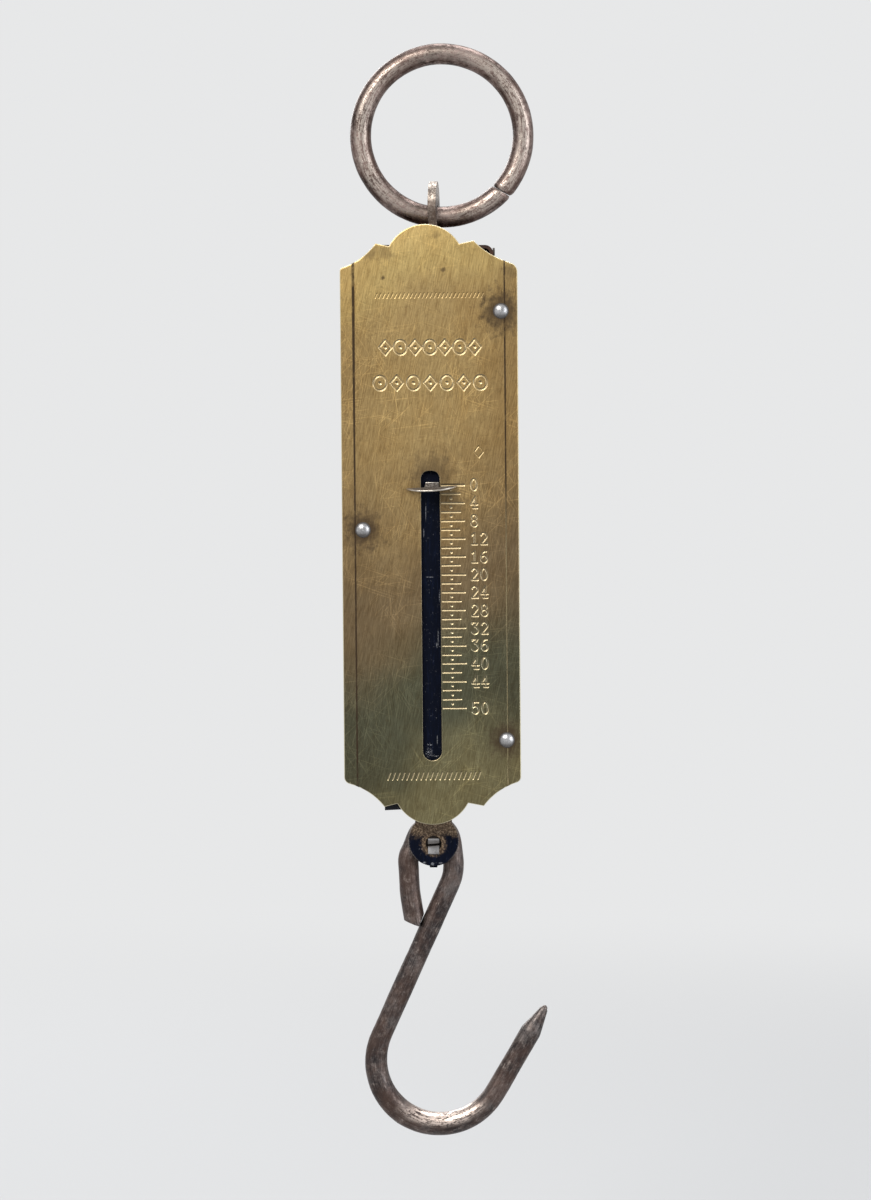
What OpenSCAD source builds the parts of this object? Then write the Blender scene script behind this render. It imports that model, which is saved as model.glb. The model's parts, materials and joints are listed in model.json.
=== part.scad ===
// Pocket hanging scale: a brass face plate on a sheet-iron case, with an extension spring inside,
// a draw bar that shows through the plate's slot, and a wire ring above and a forged hook below.
// The origin is the hanging point on the inside of the ring. +Z is up, +X is to the viewer's
// right, and the face plate looks towards -Y. The ring, the spring and the hook lie in y = 0.

/* [Ring] */
// Radius of the ring, to the middle of its wire
ring_r = 19.8; // [17:0.1:24]
// Thickness of the ring's wire
ring_wire = 5.2; // [4:0.1:5.6]
// How far the ring lies to the right of the hanging line
ring_shift = 2; // [0:0.1:3]
// Clock angle of the ring's butt joint, from the right-hand side
seam_angle = -43; // [-65:1:-20]
// Width of the ring's butt joint
seam_gap = 0.25; // [0.1:0.05:0.6]

/* [Hanger] */
// Thickness of the hanger strip
hanger_t = 2; // [1.6:0.1:2.4]
// Width of the hanger strip at its eye
hanger_w = 12; // [10:0.5:13]
// Room round the ring's wire in the hanger's eye, on the radius
eye_play = 0.6; // [0.5:0.1:1]
// Metal of the eye above the ring's wire
eye_crown = 4.8; // [3:0.1:6]
// Twist of the hanger about the upright, in degrees
hanger_twist = 4; // [0:1:6]
// Diameter of the cross pin that carries the case
cross_pin_d = 2.5; // [2:0.1:3]

/* [Face plate] */
// Plate beyond the case on each side
plate_margin = 7.1; // [6.5:0.1:8]
// Height of the face plate, from tip to tip
plate_h = 145.6; // [144:0.2:147]
// Thickness of the face plate
plate_t = 1.2; // [0.8:0.1:1.6]
// Distance from the ring's wire down to the plate's upper tip
plate_drop = 2.2; // [2:0.1:4]
// Lean of the plate, crooked on its case, in degrees
plate_lean = 0.47; // [0:0.01:1]
// How far the plate sits to the left of the hanging line
plate_left = 0.72; // [0:0.02:1.2]
// Radius of the round lobe at each end
lobe_r = 9.7; // [8.5:0.1:10.5]
// How far each lobe stands beyond its two notches
lobe_rise = 5.2; // [4:0.1:6]
// Half distance between the two cusps beside a lobe
cusp_x = 11.8; // [11.4:0.1:13]
// How far a cusp stands beyond its notch
cusp_rise = 0.75; // [0.3:0.05:1.2]
// Radius of the hollow shoulders
shoulder_r = 16; // [14:0.5:22]
// Distance from a tip back to the shoulder's corner
corner_drop = 10.4; // [9.5:0.1:12]
// Radius of the four corners
corner_r = 1.7; // [1:0.1:3]
// How far the upper lobe is cut off centre, to the left
lobe_left = 0.9; // [0:0.1:1.4]
// Width of the slot
slot_w = 4.6; // [4.2:0.1:5.4]
// Slot above the zero mark
slot_above = 3.5; // [2.5:0.1:4.5]
// Slot below the last mark
slot_below = 12.8; // [9:0.1:13]
// Distance of the two scored lines from the plate's sides
score_in = 3.2; // [2.6:0.1:4]

/* [Scale] */
// Largest load that is marked
capacity = 50; // [30:2:60]
// Draw of the spring at the largest marked load
scale_run = 54.1; // [48:0.1:56]
// Height of the zero mark above the plate's middle
zero_rise = 9.7; // [9:0.1:10.4]
// Length of the long marks
long_mark = 5.6; // [4:0.1:7]
// Length of the short marks
short_mark = 4.5; // [3:0.1:5.5]
// Width of a mark
mark_w = 0.35; // [0.2:0.05:0.5]
// Depth of a mark
mark_depth = 0.15; // [0.1:0.05:0.3]

/* [Case] */
// Width of the case outside
case_w = 28.8; // [26:0.2:31]
// Thickness of its sheet iron
sheet = 0.8; // [0.6:0.1:1]
// Top of the case below the plate's upper tip
case_top_drop = 5; // [4.4:0.1:5.6]
// Bottom of the case above the plate's lower tip
case_end_rise = 8.8; // [8.5:0.1:14]
// Radius of its long rear edges
case_edge_r = 3; // [1.5:0.1:4]
// Radius of its upper corners
case_corner_r = 2; // [1.2:0.1:3]
// Flange edge inside the plate's edge
flange_inset = 1.8; // [0.3:0.1:2]
// Flange end short of the case's end, top and bottom
flange_short = 6; // [5:0.5:10]
// Diameter of a rivet's head
rivet_head_d = 3.8; // [3:0.1:4.4]
// Height of a rivet's head
rivet_head_h = 1; // [0.6:0.1:1.4]
// Diameter of a rivet's shank
rivet_d = 2.2; // [1.6:0.1:2.6]

/* [Lower guide] */
// Gap between the guide bracket and each side of the case
guide_side_gap = 1.6; // [1.4:0.1:3]
// Thickness of its sheet
guide_t = 1; // [0.8:0.1:1.2]
// Shelf of the guide below the case's end
guide_low = 2; // [1.5:0.1:3]
// Height of its rear leg
guide_leg = 10; // [8:0.5:12]
// Height of its left front lip
guide_lip = 3.8; // [3:0.1:4.2]
// How much shorter its right front lip is
lip_step = 1.7; // [0.5:0.1:1.8]
// Tilt of the guide, low on the left, in degrees
guide_tilt = 3; // [0:0.5:5]
// Diameter of its two rivets
guide_rivet_d = 1.8; // [1.4:0.1:2.2]

/* [Spring] */
// Mean diameter of the spring
spring_d = 13.7; // [13:0.1:14.4]
// Diameter of the spring's wire
spring_wire = 2; // [1.8:0.05:2.05]
// Number of turns
spring_turns = 18; // [15:1:18]
// Rise of a turn that is held by a notched end
end_pitch = 3.3; // [3.2:0.05:3.4]
// Turns held at each end
end_turns = 1.5; // [1.5:0.5:1.5]
// Room round the spring in the case
spring_room = 0.4; // [0.3:0.05:0.8]

/* [Draw bar] */
// Width of the draw bar
bar_w = 9; // [7:0.5:10]
// Thickness of the draw bar
bar_t = 1.6; // [1.2:0.1:1.8]
// Gap between the draw bar and the face plate
bar_gap = 0.3; // [0.2:0.05:0.5]
// Height of the draw bar's foot above the zero mark
foot_rise = 4.9; // [4.4:0.1:5.4]
// Distance from the lower guide down to the hook's pin
pin_drop = 11.9; // [11.2:0.1:16]
// Diameter of the draw bar's round end
disc_d = 12.4; // [11.6:0.1:14]
// How far the pin sits below the middle of the round end
pin_low = 0.7; // [0:0.1:1]

/* [Pointer] */
// Width of the half-moon blade
blade_w = 12.3; // [10:0.1:14]
// Depth of the blade
blade_d = 3.5; // [2.5:0.1:4.5]
// Thickness of the pointer
blade_t = 0.9; // [0.7:0.1:1.1]
// Droop of the blade, in degrees
blade_droop = 14; // [5:1:20]
// Width of the tongue through the slot
tongue_w = 3.4; // [2.8:0.1:3.4]

/* [Hook] */
// Thickness of the hook at its loop, shank and arm
hook_wire = 5.2; // [4.6:0.1:5.4]
// Thickness of the hook at the bottom of its bend
hook_bend_wire = 6; // [5.4:0.1:6.6]
// Radius of the hook's loop, to the middle of its wire
loop_r = 5.6; // [5.5:0.1:6.2]
// Middle of the loop, to the left of the hanging line
loop_left = 0.7; // [0:0.1:0.8]
// Straight length between the loop and the neck
neck_drop = 5.7; // [3:0.1:6.4]
// Radius of the neck, where the shank leaves the loop
neck_r = 8; // [6:0.5:10]
// Distance from the pin down to the shank's point beside the tail's cut end
tail_drop = 22.7; // [20:0.1:25]
// Length over which the tail lies flat on the shank
tail_seat = 3.4; // [2:0.1:5]
// Thickness left of the tail at its cut end
tail_d = 3.4; // [2.6:0.1:4.4]
// Gap between the tail and the shank
tail_gap = 0.1; // [0.05:0.05:0.6]
// Slant of the tail's cut end, in degrees
tail_cut = 20; // [0:1:30]
// Distance from the pin down to the middle of the bend
bend_drop = 54; // [51:0.5:60]
// Radius of the bend, to the middle of its wire
bend_r = 15.7; // [15:0.1:18]
// Middle of the bend, to the right of the hanging line
bend_x = 1.55; // [0.5:0.05:2.5]
// Point of the hook, to the right of the hanging line
tip_x = 27.6; // [26:0.1:31]
// Distance from the pin down to the point
tip_drop = 40.4; // [38:0.1:43]
// Length of the hook's tapered end
taper = 7.4; // [6:0.1:9]
// Diameter of the hook's blunt point
tip_d = 1.6; // [1.2:0.1:2.6]
// Diameter of the hook's pin
pin_d = 3.8; // [3.2:0.1:4.2]
// Play of the hook on its pin, on the radius
pin_play = 0.08; // [0.04:0.01:0.1]
// Gap beside the hook, to the disc and to the washer
hook_gap = 0.5; // [0.3:0.05:0.8]

/* [Hidden] */
$fn = 48;
eps = 0.01;
ARC = 10; // straight runs in a quarter turn of an outline
SPRING_RINGS = 8;
SPRING_SIDES = 6;
HOOK_SIDES = 16;
fit_gap = 0.2; // play between pieces that could touch
pin_gap = 0.15; // the cross pin below the case's top, and the ring's wire below the eye's crown

loop_x = -loop_left;

// Levels, from the hanging point down
ring_z = -sqrt(pow(ring_r - ring_wire / 2, 2) - pow(ring_shift, 2));
wire_z = ring_z - sqrt(pow(ring_r, 2) - pow(ring_shift, 2));
plate_z = wire_z - plate_drop - plate_h / 2;
zero_z = plate_z + zero_rise;
case_top = plate_z + plate_h / 2 - case_top_drop;
case_end = plate_z - plate_h / 2 + case_end_rise;
foot_z = zero_z + foot_rise;
shelf_z = case_end - guide_low;
pin_z = shelf_z - pin_drop;
disc_z = pin_z + pin_low;

// Layers, from the front to the back
coil_out = spring_d / 2 + spring_wire / 2 + spring_room;
plate_back = -coil_out;
plate_front = plate_back - plate_t;
case_in = coil_out;
case_back = case_in + sheet;
bar_front = plate_back + bar_gap;
disc_back = -(hook_wire / 2 + hook_gap);
disc_front = disc_back - bar_t;
washer_front = hook_wire / 2 + hook_gap;
washer_t = 1.2;
washer_back = washer_front + washer_t;

// Spring
cross_pin_z = case_top - sheet - pin_gap - cross_pin_d / 2;
spring_low = foot_z + fit_gap + spring_wire / 2;
spring_high = cross_pin_z - cross_pin_d / 2 - 2 * fit_gap - spring_wire / 2;
held_turns = 2 * end_turns;
spring_pitch = (spring_high - spring_low - held_turns * end_pitch) / (spring_turns - held_turns);
notch_r = spring_wire / 2 + fit_gap;
notch_rim = 0.4;
notch_in = (hanger_t / 2 + spring_d / 2 * sin(hanger_twist)) * tan(180 / SPRING_RINGS);
anchor_w = spring_d + 1.2;
held_at = [for (k = [0.25:0.5:end_turns + 0.3]) k];

// Small parts
foot_tang_d = 3.4;
tongue_x = 0.45;
pointer_z = zero_z - 0.6;
rivet_tail = 0.6;

// Plate and flanges, with heights from the plate's middle
plate_w = case_w + 2 * plate_margin;
flange_top = plate_h / 2 - case_top_drop - flange_short;
flange_end = case_end_rise + flange_short - plate_h / 2;

// Rivets of the face plate: side, distance from the case's side, height from the plate's middle
RIVETS = [[1, 3, flange_top - 10.1], [-1, 2, -1], [1, 3.7, flange_end + 5.7]];

// Guide bracket
guide_w = case_w - 2 * sheet - 2 * guide_side_gap;
guide_notch = bar_w + 0.8;
guide_rivet_x = guide_w / 2 - 4;
guide_rivet_up = guide_leg - 3;
guide_leg_w = case_w - 2 * case_edge_r - 2 * guide_leg * sin(guide_tilt) - 2 * fit_gap;

// Outlines
function arc(cx, cy, r, a0, a1, n = ARC) =
  [for (i = [0:n]) let (a = a0 + (a1 - a0) * i / n) [cx + r * cos(a), cy + r * sin(a)]];
function back_to_front(list) = [for (i = [len(list) - 1:-1:0]) list[i]];
function direction(p, q) = atan2(q[1] - p[1], q[0] - p[0]);

// A plate between two depths, from its outline as seen from the front
module upright(front, back) {
  translate([0, back, 0])
    rotate([90, 0, 0])
      linear_extrude(back - front)
        children();
}

// A profile seen from the left side, with depth as x and height as y, made w wide
module sideways(w) {
  rotate([90, 0, 90])
    linear_extrude(w, center = true)
      children();
}

// A round bar between two depths
module across(d, front, back) {
  translate([0, back, 0])
    rotate([90, 0, 0])
      cylinder(d = d, h = back - front);
}

// The face plate's own place, crooked on the case
module on_plate() {
  translate([-plate_left, 0, plate_z])
    rotate([0, -plate_lean, 0])
      children();
}

// Sheet metal bent along a path: each step of a path is [depth, height, heading]
function run(from, len) = [from[0] + len * cos(from[2]), from[1] + len * sin(from[2]), from[2]];
function bend(from, r, turn, n = 6) =
  let (s = sign(turn), cx = from[0] - s * r * sin(from[2]), cy = from[1] + s * r * cos(from[2]))
  [for (i = [1:n]) let (h = from[2] + turn * i / n) [cx + s * r * sin(h), cy - s * r * cos(h), h]];
function last(list) = list[len(list) - 1];
function beside(path, d) = [for (p = path) [p[0] - d * sin(p[2]), p[1] + d * cos(p[2])]];
function strip(path, t) = concat(beside(path, t / 2), back_to_front(beside(path, -t / 2)));

// Triangles of a tube with flat ends, from its number of steps and sides
function tube_faces(steps, sides) = concat(
  [[for (k = [sides - 1:-1:0]) k]],
  [
    for (i = [0:steps - 1], k = [0:sides - 1])
      let (a = i * sides + k, b = i * sides + (k + 1) % sides)
      each [[a, b, b + sides], [a, b + sides, a + sides]]
  ],
  [[for (k = [0:sides - 1]) steps * sides + k]]
);

// Ring
module ring() {
  color("#6b5b4b")
    translate([ring_shift, 0, ring_z])
      difference() {
        rotate([90, 0, 0])
          rotate_extrude()
            translate([ring_r, 0])
              circle(d = ring_wire);
        rotate([0, -seam_angle, 0])
          translate([ring_r, 0, 0])
            rotate([0, 12, 0])
              cube([3 * ring_wire, 2 * ring_wire, seam_gap], center = true);
      }
}

// Spring: the middle of its wire after t turns from the lower end
function spring_at(t) =
  let (held = min(t, end_turns) + max(t - spring_turns + end_turns, 0))
  [
    spring_d / 2 * cos(360 * t),
    spring_d / 2 * sin(360 * t),
    spring_low + spring_pitch * t + (end_pitch - spring_pitch) * held
  ];
SHEAR_MODULUS = 79300; // of spring steel, in newtons a square millimetre
spring_steps = SPRING_RINGS * spring_turns;
spring_path = [for (i = [0:spring_steps]) spring_at(i / SPRING_RINGS)];
spring_slope = atan(spring_pitch / (PI * spring_d));
spring_skin = [
  for (i = [0:spring_steps], k = [0:SPRING_SIDES - 1])
    let (a = 360 * i / SPRING_RINGS, b = 360 * k / SPRING_SIDES)
    let (out = spring_wire / 2 * cos(b), up = spring_wire / 2 * sin(b))
    spring_path[i] + out * [cos(a), sin(a), 0]
      + up * [sin(a) * sin(spring_slope), -cos(a) * sin(spring_slope), cos(spring_slope)]
];
spring_least_gap = min([
  for (i = [0:spring_steps], j = [i + 5:1:min(i + 12, spring_steps)])
    norm(spring_path[i] - spring_path[j]) - spring_wire
]);
echo(least_gap_of_spring_to_itself = spring_least_gap);
echo(spring_rate_n_per_mm = SHEAR_MODULUS * pow(spring_wire, 4)
  / (8 * pow(spring_d, 3) * (spring_turns - held_turns)));

module spring() {
  color("#4a4a4c")
    polyhedron(spring_skin, tube_faces(spring_steps, SPRING_SIDES));
}

// Notches for the held turns, cut through a strip that stands in the spring's middle
module spring_notches(turns) {
  for (t = turns) {
    p = spring_at(t);
    translate([0, p[1] - sign(p[1]) * notch_in, p[2]]) {
      rotate([0, 90, 0])
        cylinder(r = notch_r, h = 3 * hanger_t, center = true);
      translate([0, sign(p[1]) * spring_wire, 0])
        cube([3 * hanger_t, 2 * spring_wire, 2 * notch_r], center = true);
    }
  }
}

// Hanger: a flat strip on edge, with the ring's eye above the case and the spring's notches below
eye_r = ring_wire / 2 + eye_play;
eye_z = wire_z - eye_play + pin_gap;
crown_z = wire_z + ring_wire / 2 + eye_crown - hanger_w / 2;
hanger_end = spring_high - (end_turns - 0.25) * end_pitch - notch_r - notch_rim;
module hanger() {
  color("#5c5751")
    rotate([0, 0, hanger_twist])
      difference() {
        union() {
          translate([-hanger_t / 2, -hanger_w / 2, cross_pin_z - cross_pin_d])
            cube([hanger_t, hanger_w, crown_z - cross_pin_z + cross_pin_d]);
          translate([0, 0, crown_z])
            rotate([0, 90, 0])
              cylinder(d = hanger_w, h = hanger_t, center = true);
          translate([-hanger_t / 2, -anchor_w / 2, hanger_end])
            cube([hanger_t, anchor_w, case_top - sheet - fit_gap - hanger_end]);
        }
        translate([0, 0, eye_z])
          rotate([0, 90, 0])
            cylinder(r = eye_r, h = 2 * hanger_t, center = true);
        translate([0, 0, cross_pin_z])
          rotate([0, 90, 0])
            cylinder(d = cross_pin_d + 0.3, h = 2 * hanger_t, center = true);
        rotate([0, 0, -hanger_twist])
          spring_notches([for (k = held_at) spring_turns - k]);
      }
}

// Cross pin through both sides of the case and the hanger
module cross_pin() {
  pin_head = 0.5;
  color("#77716a")
    translate([0, 0, cross_pin_z])
      rotate([0, 90, 0]) {
        cylinder(d = cross_pin_d, h = case_w, center = true);
        for (side = [-1, 1])
          translate([0, 0, side * (case_w + pin_head) / 2])
            cylinder(d = cross_pin_d + 1.2, h = pin_head, center = true);
      }
}

// Half of an end of the plate, from its side to its notch. side is 1 on the right and -1 on the left
function end_run(side, shift) =
  let (
    half = plate_h / 2,
    centre = half - lobe_r,
    notch_z = half - lobe_rise,
    notch_x = sqrt(lobe_r * lobe_r - pow(notch_z - centre, 2)) + side * shift,
    cusp = [cusp_x + side * shift, notch_z + cusp_rise],
    corner = [plate_w / 2, half - corner_drop],
    chord = corner - cusp,
    mid = (corner + cusp) / 2,
    rise = sqrt(pow(shoulder_r, 2) - pow(norm(chord) / 2, 2)),
    hollow = mid + rise * [-chord[1], chord[0]] / norm(chord),
    round_x = plate_w / 2 - corner_r,
    round_z = hollow[1] - sqrt(pow(shoulder_r + corner_r, 2) - pow(round_x - hollow[0], 2)),
    meet = direction([round_x, round_z], hollow),
    points = concat(
      arc(round_x, round_z, corner_r, 0, meet, 5),
      arc(hollow[0], hollow[1], shoulder_r, meet + 180, direction(hollow, cusp) + 360, ARC),
      [[notch_x, notch_z]]
    )
  )
  [for (p = points) [side * p[0], p[1]]];
function plate_end(shift) =
  let (
    left = end_run(-1, shift),
    right = back_to_front(end_run(1, shift)),
    centre = [shift, plate_h / 2 - lobe_r]
  )
  concat(
    left,
    arc(centre[0], centre[1], lobe_r, direction(centre, last(left)), direction(centre, right[0]), 24),
    right
  );
plate_outline = concat(
  plate_end(-lobe_left),
  [for (p = back_to_front(plate_end(0))) [p[0], -p[1]]]
);

// Scale marks to the right of the slot: a long one at every fourth, a short one at every second
mark_step = scale_run / capacity;
module scale_marks() {
  for (k = [0:2:capacity]) {
    long = k % 4 == 0 && capacity - k > 3 || k == capacity;
    translate([slot_w / 2 + 0.25, plate_front - 1, zero_rise - k * mark_step - mark_w / 2])
      cube([long ? long_mark : short_mark, 1 + mark_depth, mark_w]);
  }
  for (k = [1:2:capacity])
    translate([slot_w / 2 + short_mark / 2 + 0.25, 0, zero_rise - k * mark_step])
      across(2 * mark_w, plate_front - 1, plate_front + mark_depth);
}

// The slot's outline, flatter at the top than at the bottom
module slot() {
  top = zero_rise + slot_above;
  end = zero_rise - scale_run - slot_below;
  top_r = 0.42 * slot_w;
  polygon(concat(
    arc(slot_w / 2 - top_r, top - top_r, top_r, 0, 90, 6),
    arc(top_r - slot_w / 2, top - top_r, top_r, 90, 180, 6),
    arc(0, end + slot_w / 2, slot_w / 2, 180, 360, 2 * ARC)
  ));
}

module rivet_holes(front, back) {
  for (r = RIVETS)
    translate([r[0] * (case_w / 2 + r[1]), 0, r[2]])
      across(rivet_d, front, back);
}

module face_plate() {
  color("#b79a63")
    on_plate()
      difference() {
        upright(plate_front, plate_back)
          polygon(plate_outline);
        upright(plate_front - 1, plate_back + 1)
          slot();
        rivet_holes(plate_front - 1, plate_back + 1);
        scale_marks();
        for (side = [-1, 1])
          translate([side * (plate_w / 2 - score_in) - mark_w / 2, plate_front - 1, -plate_h / 2])
            cube([mark_w, 1 + mark_depth, plate_h]);
      }
}

// Rear case: a folded iron tray, open to the front and below, with a flange on each long side
module case_front_view(inset, low) {
  w = case_w / 2 - inset;
  top = case_top - inset;
  r = case_corner_r - inset;
  polygon(concat(
    arc(w - r, top - r, r, 0, 90),
    arc(r - w, top - r, r, 90, 180),
    [[-w, low], [w, low]]
  ));
}
module case_plan(inset, front) {
  w = case_w / 2 - inset;
  back = case_back - inset;
  r = case_edge_r - inset;
  polygon(concat(
    arc(w - r, back - r, r, 0, 90),
    arc(r - w, back - r, r, 90, 180),
    [[-w, front], [w, front]]
  ));
}
module rear_case() {
  flange_x = plate_w / 2 - flange_inset;
  color("#3a332e")
    difference() {
      union() {
        intersection() {
          upright(plate_back, case_back)
            case_front_view(0, case_end);
          translate([0, 0, case_end])
            linear_extrude(case_top - case_end)
              case_plan(0, plate_back);
        }
        for (side = [-1, 1])
          translate([
            side * (flange_x + case_w / 2 - sheet) / 2,
            plate_back + sheet / 2,
            plate_z + (flange_top + flange_end) / 2
          ])
            cube([flange_x - case_w / 2 + sheet, sheet, flange_top - flange_end], center = true);
      }
      intersection() {
        upright(plate_back - 1, case_back)
          case_front_view(sheet, case_end - 1);
        translate([0, 0, case_end - 1])
          linear_extrude(case_top - case_end + 1)
            case_plan(sheet, plate_back - 1);
      }
      rotate([0, 0, hanger_twist])
        translate([0, 0, case_top])
          cube([hanger_t + 0.4, hanger_w + 0.4, 4 * sheet], center = true);
      translate([0, 0, cross_pin_z])
        rotate([0, 90, 0])
          cylinder(d = cross_pin_d, h = 2 * case_w, center = true);
      on_plate()
        rivet_holes(plate_back - 1, plate_back + sheet + 1);
      guide_rivet_holes();
    }
}

// Rivets of the face plate: a domed head, a shank through plate and flange, and a flat tail
module plate_rivet(i) {
  r = RIVETS[i];
  ball = (pow(rivet_head_d / 2, 2) + pow(rivet_head_h, 2)) / (2 * rivet_head_h);
  tail = plate_back + sheet;
  color("#a7a49e")
    on_plate()
      translate([r[0] * (case_w / 2 + r[1]), 0, r[2]]) {
        translate([0, plate_front, 0])
          rotate([90, 0, 0])
            intersection() {
              translate([0, 0, rivet_head_h - ball])
                sphere(r = ball);
              cylinder(r = ball, h = ball);
            }
        across(rivet_d, plate_front - eps, tail);
        across(rivet_d + 1, tail, tail + rivet_tail);
      }
}
module rivet_upper() { plate_rivet(0); }
module rivet_middle() { plate_rivet(1); }
module rivet_lower() { plate_rivet(2); }

// Lower guide: a bent bracket that closes the case below and steers the draw bar
module guide_place() {
  translate([0, 0, shelf_z])
    rotate([0, -guide_tilt, 0])
      children();
}
module guide_rivet_holes() {
  guide_place()
    for (side = [-1, 1])
      translate([side * guide_rivet_x, 0, guide_rivet_up])
        across(guide_rivet_d, case_in - guide_t - 1, case_back + 1);
}
module lower_guide() {
  leg_y = case_in - guide_t / 2 - 0.02;
  lip_y = bar_front + guide_t / 2;
  corner = 1.2;
  path = concat(
    [[leg_y, guide_leg, -90], [leg_y, guide_t / 2 + corner, -90]],
    bend([leg_y, guide_t / 2 + corner, -90], corner, -90),
    [[lip_y + corner, guide_t / 2, -180]],
    bend([lip_y + corner, guide_t / 2, -180], corner, 90),
    [[lip_y, guide_t - guide_lip, -90]]
  );
  color("#242322")
    difference() {
      guide_place()
        sideways(guide_w)
          polygon(strip(path, guide_t));
      translate([-guide_notch / 2, plate_back - 1, shelf_z - 2 * guide_lip])
        cube([guide_notch, disc_back - plate_back + 1 + 0.4, 4 * guide_lip]);
      guide_place()
        for (side = [-1, 1])
          translate([side * (guide_leg_w + guide_w) / 2, leg_y, guide_t + guide_leg / 2])
            cube([guide_w, 4 * guide_t, guide_leg], center = true);
      guide_place()
        translate([0, plate_back - 1, -guide_lip])
          cube([guide_w, lip_y + guide_t - plate_back + 1, guide_t + lip_step]);
      guide_rivet_holes();
    }
}
module guide_rivet(side) {
  color("#77716a")
    guide_place()
      translate([side * guide_rivet_x, 0, guide_rivet_up]) {
        across(guide_rivet_d, case_in - guide_t - 0.02, case_back);
        across(guide_rivet_d + 1.4, case_in - guide_t - 0.62, case_in - guide_t - 0.02);
      }
}
module guide_rivet_left() { guide_rivet(-1); }
module guide_rivet_right() { guide_rivet(1); }

// Spring foot: a notched strip that holds the spring's lower end, riveted through the draw bar's foot
module spring_foot() {
  top = spring_at(end_turns - 0.25)[2] + notch_r + notch_rim;
  color("#5c5751")
    difference() {
      union() {
        translate([-hanger_t / 2, -anchor_w / 2, foot_z])
          cube([hanger_t, anchor_w, top - foot_z]);
        translate([0, 0, foot_z - bar_t])
          cylinder(d = foot_tang_d, h = bar_t + hanger_t);
        translate([0, 0, foot_z - bar_t - 0.7])
          cylinder(d = foot_tang_d + 1.6, h = 0.7);
      }
      spring_notches(held_at);
    }
}

// Draw bar: one strip, bent back at the top under the spring and set back at the bottom, with a
// round end that carries the hook's pin
set_back = disc_front - bar_front;
jog_turn = 38;
jog_r = 3;
jog_run = (set_back - 2 * jog_r * (1 - cos(jog_turn))) / sin(jog_turn);
jog_len = 2 * jog_r * sin(jog_turn) + jog_run * cos(jog_turn);
jog_end = disc_z + disc_d / 2 + 0.6;
module draw_bar() {
  mid = bar_front + bar_t / 2;
  top_r = 2;
  start = [case_in - 0.5, foot_z - bar_t / 2, 180];
  corner = [mid + top_r, foot_z - bar_t / 2, 180];
  down = bend(corner, top_r, 90);
  jog = [mid, jog_end + jog_len, 270];
  first = bend(jog, jog_r, jog_turn);
  second = bend(run(last(first), jog_run), jog_r, -jog_turn);
  path = concat([start, corner], down, [jog], first, [run(last(first), jog_run)], second,
    [[last(second)[0], disc_z, 270]]);
  color("#1f2429")
    difference() {
      union() {
        sideways(bar_w)
          polygon(strip(path, bar_t));
        translate([0, 0, disc_z])
          across(disc_d, disc_front, disc_back);
      }
      translate([0, 0, pin_z])
        across(pin_d, disc_front - 1, disc_back + 1);
      translate([0, 0, foot_z - 2 * bar_t])
        cylinder(d = foot_tang_d, h = 3 * bar_t);
      translate([-tongue_x, bar_front + bar_t / 2, pointer_z])
        cube([tongue_w, 2 * bar_t, blade_t], center = true);
    }
}

// Pointer: a half-moon blade in front of the plate, on a tongue that is riveted over behind the bar
module pointer() {
  blade_r = (pow(blade_w / 2, 2) + pow(blade_d, 2)) / (2 * blade_d);
  half = asin(blade_w / 2 / blade_r);
  front = plate_front - 0.35;
  back = bar_front + bar_t;
  color("#b9b4aa")
    translate([-tongue_x, 0, pointer_z]) {
      translate([0, (front + back) / 2, 0])
        cube([tongue_w, back - front, blade_t], center = true);
      translate([0, back + 0.35, 0])
        cube([tongue_w + 1, 0.7, blade_t + 1.2], center = true);
      translate([0, front, 0])
        rotate([-blade_droop, 0, 180])
          translate([0, 0, -blade_t / 2])
            linear_extrude(blade_t)
              polygon(concat(
                arc(0, blade_d - blade_r, blade_r, 90 - half, 90 + half, 20),
                [[-blade_w / 2, -0.15], [blade_w / 2, -0.15]]
              ));
    }
}

// Hook pin: headed at the back, and split at the front into two legs that come out of the disc's
// hole, the lower one bent down over the disc
module hook_pin() {
  leg_w = 2.7;
  leg_rise = 1.3;
  leg_reach = 2.7;
  slit = 0.6;
  slit_slant = 5;
  proud = 0.9;
  sunk = 0.6;
  head_t = 1.3;
  color("#8c8a86")
    translate([0, 0, pin_z])
      difference() {
        union() {
          across(pin_d, disc_front + sunk, washer_back);
          across(pin_d + 3.2, washer_back, washer_back + head_t);
          sideways(leg_w)
            polygon(concat(
              [[disc_front + sunk + eps, leg_rise], [disc_front - proud, leg_rise]],
              arc(disc_front, proud - leg_reach, proud, 180, 270, 6),
              [[disc_front, -leg_rise], [disc_front + sunk + eps, -leg_rise]]
            ));
        }
        rotate([0, -slit_slant, 0])
          translate([0, disc_front - proud, -slit / 3])
            cube([2 * pin_d, 2 * (proud + bar_t), slit], center = true);
      }
}

// Tab washer behind the hook's loop, with a tab that shows below the disc
module tab_washer() {
  tab = disc_d / 2 - pin_low + 1.2;
  color("#1f2429")
    translate([0, 0, pin_z])
      difference() {
        union() {
          across(disc_d - 2, washer_front, washer_back);
          translate([-0.95, washer_front, -tab])
            cube([1.9, washer_t, tab]);
        }
        across(pin_d, washer_front - 1, washer_back + 1);
      }
}

// Hook: a loop closed against its own shank, a straight leaning shank, a round bend and a tapered point
loop_room = loop_r - (hook_wire + pin_d) / 2 - pin_play;
loop_z = pin_z - sqrt(max(0, pow(loop_room, 2) - pow(loop_left, 2)));
neck = [loop_x + loop_r - neck_r, loop_z - neck_drop];
bow = [bend_x, pin_z - bend_drop];
to_bow = bow - neck;
shank_lean = asin((neck_r + bend_r) / norm(to_bow)) - atan2(to_bow[0], -to_bow[1]);
point = [tip_x, pin_z - tip_drop];
to_point = bow - point;
arm_lean = atan2(-to_point[0], -to_point[1]) - asin(bend_r / norm(to_point));

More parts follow.
